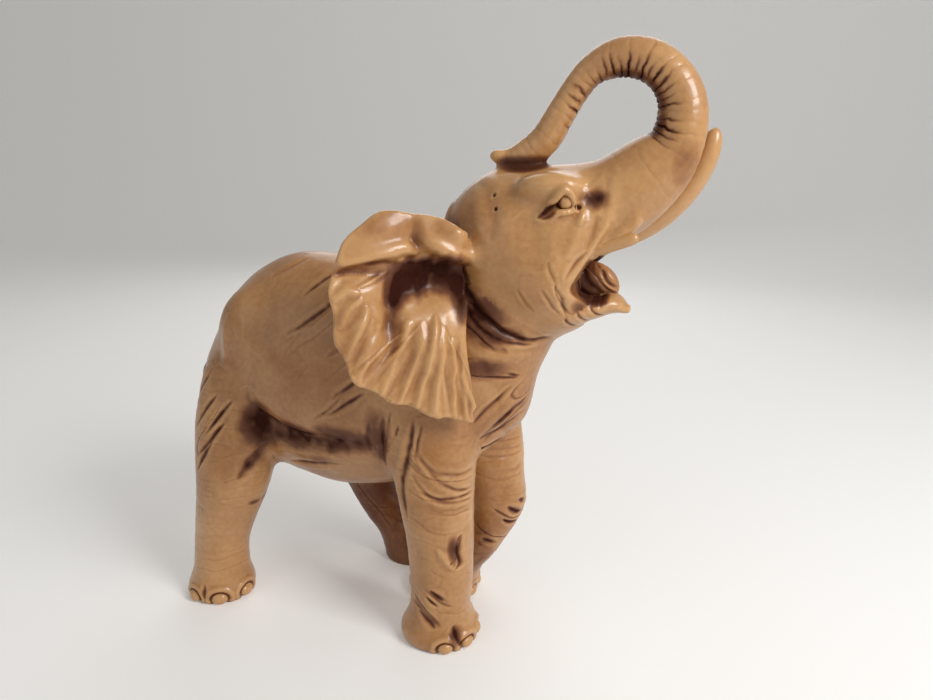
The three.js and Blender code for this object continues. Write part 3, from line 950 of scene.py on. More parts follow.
@dataclass(frozen=True)
class Hatch:
    """A patch of fine creases that run side by side.

    Attributes:
        middle: place on the plane.
        size: half length along the creases and half width across them, in mm.
        angle: direction of the creases in degrees from the plane's first axis.
        spacing: about how far apart they lie, in mm.
        depth: depth in mm.
        stain: how dark the stain lies in them.
        bow: how far the creases bow at the patch's ends, in mm.
    """

    middle: tuple[float, float]
    size: tuple[float, float]
    angle: float
    spacing: float = 3.0
    depth: float = 0.35
    stain: float = 0.4
    bow: float = 0.0

    def lay(self, place: Array) -> tuple[Array, Array]:
        """Lays the creases out in a pattern that hangs on the patch's place.

        Args:
            place: places on the plane.

        Returns:
            How deep in a crease each place is, from 0 to 1, and how much of the patch is there.
        """
        turn = math.radians(self.angle)
        seed = 50 + int(abs(self.middle[0] - 3 * self.middle[1]))
        offset = place - np.array(self.middle)
        run = offset @ np.array((math.cos(turn), math.sin(turn)))
        across = offset @ np.array((-math.sin(turn), math.cos(turn)))
        bent = across + self.bow * (run / self.size[0]) ** 2
        cells = np.stack([bent, run, run * 0], 1)
        lines = wrinkles(cells, (1.6 * self.spacing, 9 * self.spacing, 1.0), seed)
        reach = (run / self.size[0]) ** 2 + (across / self.size[1]) ** 2
        return lines, smooth((1.25 - reach) / 0.8)


@dataclass(frozen=True)
class StainAndShadePatch:
    """A dark patch: some are stain that was left on, some are painted shade.

    Attributes:
        middle: place on the plane.
        size: half width and half height in mm.
        stain: how dark it is.
    """

    middle: tuple[float, float]
    size: tuple[float, float]
    stain: float = 0.6


Marks = tuple[Fold | Hatch | StainAndShadePatch, ...]


@dataclass
class Plane:
    """A plane that marks are drawn on and carried square to onto the skin.

    Attributes:
        origin: place of its zero point.
        across: direction of its first axis.
        up: direction of its second axis.
        facing: direction that marked skin faces.
    """

    origin: Point
    across: Point
    up: Point
    facing: Point

    def flat(self, hide: Hide) -> tuple[Array, Array]:
        """Lays a hide flat.

        Args:
            hide: the hide.

        Returns:
            Each point's place on the plane, and how much its skin faces the plane, from 0 to 1.
        """
        offset = hide.points - np.array(self.origin)
        place = np.stack([offset @ np.array(self.across), offset @ np.array(self.up)], 1)
        return place, smooth((hide.normals @ np.array(self.facing)) / 0.35)


def line_distance(places: Array, line: Array) -> tuple[Array, Array]:
    """Measures how far places are from a line.

    Args:
        places: places on a plane.
        line: points of the line.

    Returns:
        The distances and how far along the line the nearest point is, from 0 to 1.
    """
    nearest = np.full(len(places), FAR)
    share = np.zeros(len(places))
    lengths = np.linalg.norm(np.diff(line, axis=0), axis=1)
    run, total = 0.0, lengths.sum()
    for a, b, length in zip(line[:-1], line[1:], lengths):
        t = np.clip((places - a) @ (b - a) / max(length**2, 1e-9), 0, 1)
        gap = np.linalg.norm(places - a - t[:, None] * (b - a), axis=1)
        closer = gap < nearest
        nearest[closer] = gap[closer]
        share[closer] = (run + t[closer] * length) / total
        run += length
    return nearest, share


def press(hide: Hide, plane: Plane, marks: Marks) -> None:
    """Presses folds into a hide and wipes stain over it, with painted shade where a patch stands for
    shade.

    Args:
        hide: the hide.
        plane: plane that the marks are drawn on.
        marks: folds and smudges.
    """
    place, facing = plane.flat(hide)
    wander = np.stack([lattice_noise(hide.points / 5, 3), lattice_noise(hide.points / 5, 4)], 1)
    place = place + 0.5 * wander
    depth = np.zeros(len(place))
    streaks = lattice_noise(hide.points / 3, 5)
    for mark in marks:
        # Patches lay stain, and the ones that stand for shade lay painted shade.
        if isinstance(mark, StainAndShadePatch):
            offset = (place - mark.middle) / np.array(mark.size)
            patch = np.exp(-(offset**2).sum(1) ** 1.3) * facing**0.4
            blotched = mark.stain * patch * (1 + 0.2 * wander[:, 0] + 0.2 * streaks)
            hide.wipe(blotched)
            continue
        if isinstance(mark, Hatch):
            lines, patch = mark.lay(place)
            depth -= mark.depth * lines * patch * facing
            hide.wipe(mark.stain * lines * patch * facing)
            continue
        fine = along(np.array(mark.line), np.linspace(0, 1, 5 * len(mark.line)))
        low, high = fine.min(0) - 4 * mark.width, fine.max(0) + 4 * mark.width
        near = np.flatnonzero(((place > low) & (place < high)).all(1) & (facing > 0))
        gap, share = line_distance(place[near], fine)
        ends = np.clip(4 * share * (1 - share), 0, 1) ** 0.6
        width = mark.width * (0.35 + 0.65 * ends)
        fade = facing[near] * ends
        groove = np.exp(-((gap / width) ** 2))
        lip = np.exp(-(((gap - 1.9 * width) / width) ** 2))
        depth[near] -= mark.depth * fade * (groove - mark.lip * lip)
        narrow = np.exp(-((gap / (0.62 * width)) ** 2)) + 0.4 * np.exp(-((gap / (1.6 * width)) ** 2))
        dark = mark.stain * fade * narrow / 1.4 * (1 + 0.5 * streaks[near])
        hide.stain[near] = np.maximum(hide.stain[near], dark)
    hide.push(depth)


def press_sides(hide: Hide, marks: Marks) -> None:
    """Presses the same marks into both sides, seen square from each.

    Args:
        hide: the hide.
        marks: folds and smudges along X and Z.
    """
    for side in Side:
        press(hide, Plane((0, 0, 0), (1, 0, 0), (0, 0, 1), (0, side.value, 0)), marks)


def age(hide: Hide, reach: int, strength: float) -> None:
    """Leaves stain in the hollows and wipes it off the crests.

    Args:
        hide: the hide.
        reach: how many points away a hollow is judged from.
        strength: stain for each mm of depth.
    """
    even, average = hide.points, averager(hide.quads, len(hide.points))
    for _ in range(reach):
        even = (even + average(even)) / 2
        even[hide.rim] = hide.points[hide.rim]
    depth = ((even - hide.points) * hide.normals).sum(1)
    hide.stain = np.clip(hide.stain + strength * depth, 0, 1)


# Finishes


class Nodes:
    """A node tree that is being built.

    Attributes:
        tree: the tree.
    """

    def __init__(self, tree: NodeTree) -> None:
        """Takes the tree up."""
        self.tree = tree

    def add(self, kind: str, inputs: dict | None = None, **settings: object) -> Node:
        """Adds a node.

        Args:
            kind: type of the node.
            inputs: values, or outputs to link, by input.
            settings: the node's own settings.

        Returns:
            The node.
        """
        node = self.tree.nodes.new(kind)
        for name, value in settings.items():
            setattr(node, name, value)
        for name, value in (inputs or {}).items():
            if isinstance(value, NodeSocket):
                self.tree.links.new(value, node.inputs[name])
            else:
                node.inputs[name].default_value = value
        return node

    def out(self, kind: str, inputs: dict | None = None, **settings: object) -> NodeSocket:
        """Adds a node and returns its first output."""
        return self.add(kind, inputs, **settings).outputs[0]

    def math(self, operation: str, *values: object, clamp: bool = False) -> NodeSocket:
        """Adds a math node and returns its value."""
        given = dict(enumerate(values))
        return self.out("ShaderNodeMath", given, operation=operation, use_clamp=clamp)

    def noise(self, place: NodeSocket, size: float, detail: float) -> NodeSocket:
        """Adds noise with ripples of a size in mm and returns its value."""
        given = {"Vector": place, "Scale": 1 / (size * MM), "Detail": detail}
        return self.add("ShaderNodeTexNoise", given).outputs["Fac"]


Colour = tuple[float, float, float]


@dataclass(frozen=True)
class StainedResin:
    """Cast resin in the colour of old ivory, stained in its creases and lacquered.

    Attributes:
        name: name of the material.
        shades: colours from wiped crest to deepest stain, each with its place from 0 to 1.
        roughness: roughness under the lacquer.
        lacquer: strength of the lacquer.
        lacquer_roughness: roughness of the lacquer.
        mottle: size of the cloudy patches in mm.
        grain: size of the fine grain in mm.
    """

    name: str
    shades: tuple[tuple[float, Colour], ...]
    roughness: float = 0.42
    lacquer: float = 0.5
    lacquer_roughness: float = 0.16
    mottle: float = 16.0
    grain: float = 2.2

    def material(self) -> Material:
        """Builds the material."""
        made = bpy.data.materials.new(self.name)
        made.use_nodes = True
        nodes = Nodes(made.node_tree)
        nodes.tree.nodes.clear()
        place = nodes.add("ShaderNodeTexCoord").outputs["Object"]
        # The stain attribute holds real stain and, in places, painted shade; the ramp darkens both
        # alike.
        stain = nodes.add("ShaderNodeAttribute", attribute_name="stain").outputs["Fac"]
        clouds, grain = nodes.noise(place, self.mottle, 4.0), nodes.noise(place, self.grain, 3.0)
        cloudy = nodes.math("MULTIPLY_ADD", clouds, 0.28, -0.14)
        grainy = nodes.math("MULTIPLY_ADD", grain, 0.16, -0.08)
        total = nodes.math("ADD", stain, nodes.math("ADD", cloudy, grainy))
        ramp = nodes.add("ShaderNodeValToRGB", {"Fac": total})
        stops = ramp.color_ramp.elements
        while len(stops) < len(self.shades):
            stops.new(0.5)
        for stop, (at, colour) in zip(stops, self.shades):
            stop.position = at
            stop.color = (*colour, 1)
        lines = ((0.25, self.roughness), (-0.45, 0.5), (-self.lacquer, self.lacquer))
        rough, sheen, coat = (
            nodes.math("MULTIPLY_ADD", total, slope, clean, clamp=True) for slope, clean in lines
        )
        relief = {"Height": grain, "Strength": 0.12, "Distance": 0.3 * MM}
        looks = {
            "Base Color": ramp.outputs["Color"],
            "Roughness": rough,
            "Specular IOR Level": sheen,
            "Normal": nodes.out("ShaderNodeBump", relief),
            "Coat Weight": coat,
            "Coat Roughness": self.lacquer_roughness,
            "IOR": 1.5,
        }
        shader = nodes.out("ShaderNodeBsdfPrincipled", looks)
        nodes.add("ShaderNodeOutputMaterial", {"Surface": shader})
        return made


IVORY = StainedResin(
    "old_ivory_resin",
    (
        (0.0, (0.56, 0.3, 0.115)),
        (0.22, (0.36, 0.158, 0.05)),
        (0.5, (0.15, 0.05, 0.018)),
        (1.0, (0.036, 0.009, 0.005)),
    ),
)
STAINED = StainedResin(
    "stained_resin",
    ((0.0, (0.46, 0.21, 0.07)), (0.4, (0.16, 0.052, 0.02)), (1.0, (0.036, 0.009, 0.005))),
    lacquer=0.3,
)


# Meshes


def open_mesh(name: str, hide: Hide, finish: Material) -> Object:
    """Makes a closed, smooth piece from a hide.

    Args:
        name: name of the piece.
        hide: the hide.
        finish: its material.

    Returns:
        The piece, in metres in the row's frame.
    """
    points, caps = close(hide)
    mesh = bpy.data.meshes.new(name)
    row = (points - np.array([SETTING_OUT, 0, 0])) * MM
    corners = np.concatenate([hide.quads.ravel(), np.array(caps, int).ravel()])
    sizes = np.concatenate([np.full(len(hide.quads), 4), np.full(len(caps), 3)])
    mesh.vertices.add(len(row))
    mesh.vertices.foreach_set("co", row.ravel())
    mesh.loops.add(len(corners))
    mesh.loops.foreach_set("vertex_index", corners.astype(np.int32))
    mesh.polygons.add(len(sizes))
    mesh.polygons.foreach_set("loop_start", (np.cumsum(sizes) - sizes).astype(np.int32))
    mesh.update(calc_edges=True)
    stain = mesh.attributes.new("stain", "FLOAT", "POINT")
    values = np.concatenate([hide.stain, np.ones(len(points) - len(hide.stain))])
    stain.data.foreach_set("value", values.astype(np.float32))
    mesh.shade_smooth()
    ends = np.zeros(len(mesh.edges) * 2, np.int32)
    mesh.edges.foreach_get("vertices", ends)
    edges, _, shared = edge_list(hide.quads)
    span = len(points)
    seam = edges[shared == 1] @ (span, 1)
    sharp = mesh.attributes.new("sharp_edge", "BOOLEAN", "EDGE")
    sharp.data.foreach_set("value", np.isin(np.sort(ends.reshape(-1, 2), axis=1) @ (span, 1), seam))
    mesh.materials.append(finish)
    return new_piece(name, mesh)


# Geometry Nodes


class Tree(Nodes):
    """A Geometry Nodes tree with named inputs that ends in realized, finished geometry."""

    def __init__(self, name: str, inputs: dict[str, tuple[str, object]]) -> None:
        """Starts the tree.

        Args:
            name: name of the tree.
            inputs: socket type and value of each named input.
        """
        super().__init__(bpy.data.node_groups.new(name, "GeometryNodeTree"))
        face = self.tree.interface
        face.new_socket("Geometry", in_out="INPUT", socket_type="NodeSocketGeometry")
        self.values: dict[str, object] = {}
        for label, (kind, value) in inputs.items():
            made = face.new_socket(label, in_out="INPUT", socket_type=kind)
            self.values[made.identifier] = value
        face.new_socket("Geometry", in_out="OUTPUT", socket_type="NodeSocketGeometry")
        self.given = self.tree.nodes.new("NodeGroupInput").outputs

    def vector(self, x: object, y: object, z: object) -> NodeSocket:
        """Adds a Combine XYZ node and returns its vector."""
        return self.out("ShaderNodeCombineXYZ", {0: x, 1: y, 2: z})

    def stored(self, name: str) -> NodeSocket:
        """Reads a number that is stored on the points."""
        return self.out("GeometryNodeInputNamedAttribute", {"Name": name}, data_type="FLOAT")

    def end(self, geometry: NodeSocket) -> None:
        """Ends the tree in Realize Instances and Set Material."""
        whole = self.out("GeometryNodeRealizeInstances", {"Geometry": geometry})
        dressed = {"Geometry": whole, "Material": self.given["Finish"]}
        self.add("NodeGroupOutput", {"Geometry": self.out("GeometryNodeSetMaterial", dressed)})

    def apply(self, piece: Object) -> None:
        """Runs the tree on a piece and keeps the result as its plain mesh.

        Args:
            piece: the piece.
        """
        modifier = piece.modifiers.new(self.tree.name, "NODES")
        modifier.node_group = self.tree
        for identifier, value in self.values.items():
            modifier[identifier] = value
        bpy.context.view_layer.update()
        seen = piece.evaluated_get(bpy.context.evaluated_depsgraph_get())
        mesh = bpy.data.meshes.new_from_object(seen)
        piece.modifiers.clear()
        piece.data = mesh

    def piece(self, name: str) -> Object:
        """Makes a smooth piece of what the tree builds."""
        piece = new_piece(name)
        self.apply(piece)
        piece.data.shade_smooth()
        return piece


def row_place(x: float, y: float, z: float) -> Point:
    """Turns a place in mm from the setting-out point into metres in the row's frame."""
    return ((x - SETTING_OUT) * MM, y * MM, z * MM)


def new_piece(name: str, mesh: Mesh | None = None) -> Object:
    """Links a new piece to the scene."""
    piece = bpy.data.objects.new(name, mesh or bpy.data.meshes.new(name))
    bpy.context.scene.collection.objects.link(piece)
    return piece


def claim(piece: Object, node: str) -> None:
    """Ties a piece to the body and hides the CAD node that it stands for.

    Args:
        piece: the piece.
        node: the CAD node.
    """
    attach(piece, "root")
    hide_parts(node)
    LOG.info("%s: %d faces for %s", piece.name, len(piece.data.polygons), node)


# The elephant's parts

RUMP, CHEST = -75.0, 82.0
BELLY, BACK = 57.0, 167.0
SKULL, CROWN = 52.0, 206.0
EYE, EYE_RADIUS = (107.3, -20.4, 193.6), 3.0  # middle of the right eye, and radius of both
HEAD_LENGTH, HEAD_WIDTH, HEAD_DEPTH = 70.0, 56.0, 69.0


def head_x(share: float) -> float:
    """Returns the place at a share of the head's length."""
    return SKULL + HEAD_LENGTH * share


def head_z(share: float) -> float:
    """Returns the place at a share of the head's depth below the crown."""
    return CROWN - HEAD_DEPTH * share


def from_tip(points: Array) -> Array:
    """Returns how far points are from where the tip of the trunk lies on the crown."""
    return np.linalg.norm(points - (head_x(0.5), 0, CROWN + 1.0), axis=1)


# Marks are places along X and Z, seen square from the side. The hollow of the flank and the strokes
# down the thigh run from the body onto the leg.
# The grooves and their stain are real; the wide smudges and the dark of the broad groove are painted
# shade in the undercut of the belly above the thigh.
RECESS = (
    Fold(((-32, 110), (-29, 101), (-19, 93), (-4, 88.5), (14, 88), (32, 91)), 6.0, 2.4, 0.9, 0.12),
    Fold(((-29, 101), (-21, 96), (-11, 92), (4, 91)), 1.2, 0.6, 0.9),
    Fold(((-26, 80), (-10, 81), (8, 83), (24, 87)), 3.0, -1.0, 0.0, 0.1),
    Fold(((-18, 73), (-2, 75.5), (12, 78)), 1.6, 0.8, 0.65),
    StainAndShadePatch((-27, 92), (8.5, 12), 1.0),
    StainAndShadePatch((-9, 89.5), (17, 7), 0.95),
    StainAndShadePatch((17, 92), (18, 7), 0.85),
    StainAndShadePatch((0, 79), (14, 3), 0.4),
)
STROKES = (
    Fold(((-42, 93), (-49, 85), (-57, 76)), 1.3, 0.8, 0.85),
    Fold(((-48, 84), (-53, 77), (-58, 68)), 1.3, 0.7, 0.85),
    Fold(((-39, 103), (-46, 95), (-52, 87)), 1.2, 0.7, 0.8),
    Fold(((-47, 105), (-54, 98), (-60, 88)), 1.2, 0.6, 0.7),
    Fold(((-52, 116), (-58, 108), (-64, 99)), 1.1, 0.5, 0.6),
    Hatch((-52, 87), (16, 9), 52, 3.4, 0.35, 0.5),
)


# The dark crease under the jaw runs from the neck onto the head, and the patch before the eye
# from the head onto the trunk.
# Its smudges and the dark of its crease and striations paint the shadow that the jaw and ear cast on
# the neck, over real creases and striations.
NAPE = (
    Fold(((64, 166), (69, 158), (75, 150), (84, 142), (94, 138), (102, 139)), 1.7, 1.2, 0.95),
    Fold(((66, 156), (73, 146), (83, 138.5), (95, 136)), 1.3, 0.7, 0.9),
    Hatch((77, 146), (17, 9), -40, 2.8, 0.5, 0.95, 3.0),
    StainAndShadePatch((76, 145.5), (10, 9), 0.85),
    StainAndShadePatch((70, 152), (6, 8), 0.85),
    StainAndShadePatch((61, 176), (6, 12), 0.7),
)
TEMPLE = (
    Fold(((114, 195.6), (117.4, 194.4), (121, 194)), 3.6, 0.8, 0.3),
    StainAndShadePatch((117.6, 194.3), (4.5, 3.4), 0.85),
)


# Folds and smudges on one flank.
FLANK: Marks = RECESS + STROKES + NAPE + (
    # Painted shadow of the jaw and ear on the neck.
    StainAndShadePatch((74.5, 149), (10, 8), 0.95),
    StainAndShadePatch((83, 140.5), (8, 4.5), 0.9),
    Fold(((-24, 158), (-17, 162), (-10, 166)), 1.2, 0.35, 0.3),
    Fold(((-4, 152), (4, 159), (11, 164)), 1.3, 0.45, 0.45),
    Fold(((-9, 136), (6, 146), (20, 159)), 1.3, 0.5, 0.55),
    Fold(((12, 129), (22, 136), (31, 143)), 1.2, 0.45, 0.5),
    Fold(((14, 111), (22, 117), (31, 123)), 1.2, 0.5, 0.55),
    Fold(((11, 103), (20, 109), (30, 116)), 1.2, 0.5, 0.6),
    Fold(((5, 101), (12, 106), (19, 113)), 1.1, 0.4, 0.45),
    Hatch((12, 138), (26, 18), 40, 4.5, 0.25, 0.22),
    Fold(((-42, 143), (-45, 118), (-52, 96)), 3.2, -0.9, 0.0, 0.2),
    Fold(((-46, 150), (-34, 155), (-20, 156)), 4.0, -0.7, 0.0, 0.1),
    Fold(((51, 107), (48, 88), (44, 72)), 1.6, 1.0, 0.8),
    Fold(((44, 103), (41, 90), (39, 76)), 1.5, 0.9, 0.8),
    Fold(((38, 106), (35, 93), (34, 80)), 1.4, 0.8, 0.75),
    Fold(((31, 102), (29, 94), (29, 86)), 1.3, 0.6, 0.65),
    Hatch((41, 92), (17, 11), 80, 3.0, 0.35, 0.4),
    StainAndShadePatch((34, 95), (7, 15), 0.6),
    Fold(((69, 137), (80, 131), (94, 132)), 3.4, -1.0, 0.0, 0.1),
    Hatch((79, 126), (12, 6), -14, 2.4, 0.45, 0.85, 1.5),
    StainAndShadePatch((77, 126), (9, 5), 0.65),
    Fold(((72, 101), (79, 110), (87, 118)), 1.2, 0.6, 0.7),
    Fold(((75, 95), (83, 103), (92, 112)), 1.3, 0.6, 0.7),
    Fold(((70, 92), (80, 97), (90, 105)), 1.2, 0.5, 0.6),
    Hatch((82, 105), (18, 9), 48, 3.0, 0.3, 0.45),
    Fold(((66, 90), (76, 88), (86, 92)), 1.6, 0.8, 0.7),
    Hatch((62, 168), (16, 6), -70, 3.0, 0.4, 0.7),
)

# Folds and smudges on one side of the face.
FACE: Marks = NAPE + TEMPLE + (
    # The first two folds run along the lower lid; their dark is partly the lid's crease and partly
    # painted shade in the eye's rear corner.
    Fold(((97.5, 187.2), (100.5, 190), (103, 191.8), (105, 192.2)), 1.4, 0.4, 0.95),
    Fold(((98.5, 187.2), (102, 188.2), (105, 190.6)), 1.1, 0.2, 0.8),
    Fold(((112.9, 190), (113.1, 187.5), (112.6, 184)), 1.3, -0.7, 0.0, 0.1),
    Fold(((90, 188), (97, 180), (101, 168)), 5.0, 0.9, 0.1),
    Fold(((114, 191), (113, 183), (109, 172)), 2.6, -0.9, 0.0, 0.15),
    Fold(((119, 189), (118.5, 181), (115, 174)), 1.8, 0.5, 0.2),
    Fold(((122, 175.5), (118, 171.5), (115.5, 166.5), (113, 161), (115, 156.5)), 1.3, -0.9, 0.0, 0.1),
    Fold(((116, 175), (112, 170), (109, 164)), 1.1, 0.5, 0.3),
    Fold(((103, 172), (104, 168), (105.5, 163)), 0.9, 0.3, 0.2),
    Fold(((105, 163), (107.5, 158), (108, 153), (111, 149.5)), 0.9, 0.4, 0.35),
    Fold(((101, 161), (103.5, 155), (106, 150)), 0.8, 0.3, 0.25),
    Hatch((106, 156), (8, 6), -68, 2.0, 0.35, 0.3, -1.0),
    Fold(((91, 161), (93.5, 156), (97, 151)), 0.9, 0.25, 0.15),
    Fold(((79, 196), (80.3, 194.6)), 0.8, 0.5, 0.9),
    Fold(((80.5, 191.3), (81.5, 190)), 0.8, 0.4, 0.8),
    Fold(((111, 192.2), (112.8, 190.8)), 1.0, 0.6, 0.9),
    Fold(((70, 200), (76, 196), (80, 188), (81, 178)), 3.0, 0.6, 0.12),
    Fold(((122.6, 176.2), (121.4, 174.2)), 1.1, 0.6, 0.7),
    StainAndShadePatch((113.5, 152.5), (3, 4), 0.5),
)

# Folds on the front of an ear, in its own plane: back and up from the root.
EAR_FRONT: Marks = (
    Fold(((54, 5), (45, 7.4), (34, 8.5), (26, 7)), 1.5, 0.7, 0.6),
    Fold(((34, -3), (31, -11), (28.5, -20), (29, -30)), 3.2, 0.8, 0.35),
    Fold(((45, 0), (36, 4), (33, 6)), 0.9, -0.5, 0.0),
    Fold(((44, -2), (49, -1.4), (53.5, -4.5)), 2.0, -0.9, 0.0),
    Fold(((43, -4), (47, -8), (51, -15)), 1.8, -0.8, 0.0),
    Fold(((40, -7), (42.5, -14), (46.8, -27)), 2.4, -1.2, 0.0),
    Fold(((37.5, -12), (40, -21), (43.5, -32)), 1.6, -0.7, 0.0),
    Fold(((35, -14), (38, -23), (41.5, -36)), 2.2, -1.1, 0.0),
    Fold(((24, -13), (26, -25), (32.5, -42)), 2.2, -1.2, 0.0),
    Fold(((19, -14), (20, -30), (25, -47)), 1.9, -1.0, 0.0),
    Fold(((13, -12), (15, -30), (17.5, -50)), 2.0, -1.2, 0.0),
    Fold(((10, -17), (10, -33), (10.4, -52)), 1.8, -1.0, 0.0),
    Fold(((5.5, -22), (3.5, -38), (1.2, -55)), 1.8, -1.1, 0.0),
    Fold(((2, -25), (-1, -40), (-3.8, -56)), 1.3, -0.7, 0.0),
    StainAndShadePatch((30, -13), (3.5, 11), 0.4),
    StainAndShadePatch((46, 6.5), (12, 2.2), 0.5),
    StainAndShadePatch((35, 5), (6, 4), 0.4),
    StainAndShadePatch((24, 18), (3, 9), 0.3),
    StainAndShadePatch((36, 24), (16, 9), 0.22),
    StainAndShadePatch((12, 22), (8, 7), 0.18),
    StainAndShadePatch((50, -25), (7, 26), 0.2),
)

# The film of stain on the body, legs and tail is deeper than on the head: partly patina, partly painted
# shade that darkens the body.
BODY_PATINA_AND_SHADE = 0.17  # mean depth of the stain that is left all over
HEAD_PATINA = 0.1


def patina(points: Array, base: float | Array) -> Array:
    """Leaves a cloudy film of stain, the same on both sides of every seam.

    Args:
        points: places in mm.
        base: its mean depth.

    Returns:
        The depth of stain at each point.
    """
    return base + 0.08 * lattice_noise(points / 20, 14)


@dataclass
class Body:
    """Barrel, shoulders, hips and neck.

    Attributes:
        width: width of the barrel.
        barrel: rows of shares along, top, bottom and width of the barrel.
    """

    width: float = 76.0
    barrel: Sequence[Sequence[float]] = (
        (0.0, 0.5, 0.34, 0.22),
        (0.06, 0.64, 0.22, 0.46),
        (0.18, 0.885, 0.1, 0.74),
        (0.33, 1.0, 0.03, 0.92),
        (0.5, 1.0, 0.0, 1.0),
        (0.67, 0.97, 0.04, 0.98),
        (0.81, 0.92, 0.12, 0.86),
        (0.92, 0.78, 0.22, 0.66),
        (1.0, 0.6, 0.34, 0.4),
    )

    def shape(self, clay: Clay) -> None:
        """Adds the body to the clay."""
        rows = []
        for share, top, bottom, width in self.barrel:
            high, low = mix(BELLY, BACK, top), mix(BELLY, BACK, bottom)
            half = (high - low) / 2
            rows.append((mix(RUMP, CHEST, share), 0, low + half, self.width / 2 * width, half, half))
        clay.put("torso", Loft(0, rows, (4.0, 8.0)), 1.0)
        for side in (-1, 1):
            clay.put("torso", Oval((44, side * 27, 122), (19, 8.5, 26)), 9.0)
            clay.put("torso", Oval((-36, side * 22, 135), (15, 9, 15), 18 * side), 9.0)
        neck = (
            (92, 0, 50, 25, 30, 26),
            (112, 0, 56, 26.5, 33.5, 33),
            (132, 0, 66, 25, 33, 35),
            (150, 0, 75, 23.5, 30, 33),
            (170, 0, 86, 21, 26, 28),
        )
        clay.put("torso", Loft(2, neck, (8, 4)), 10.0)

    def dress(self, hide: Hide) -> None:
        """Presses the folds into the flanks and wrinkles the skin."""
        hide.push(0.45 * lattice_noise(hide.points / 18, 11) + 0.1 * lattice_noise(hide.points / 5, 12))
        hide.wipe(patina(hide.points, BODY_PATINA_AND_SHADE))
        press_sides(hide, FLANK)


# Place across of each tusk's sheath, and its places ahead, heights and radii.
SHEATHS = (
    (-10.5, (113, 119, 124, 129, 133), (173.5, 177, 179.8, 182.6, 186), (4.3, 3.6, 3.2, 2.6, 1.6)),
    (11.5, (113, 119.3, 124, 127, 130), (173.2, 176.6, 178.8, 180.2, 182), (5.2, 5.4, 5.5, 5.4, 4.6)),
)


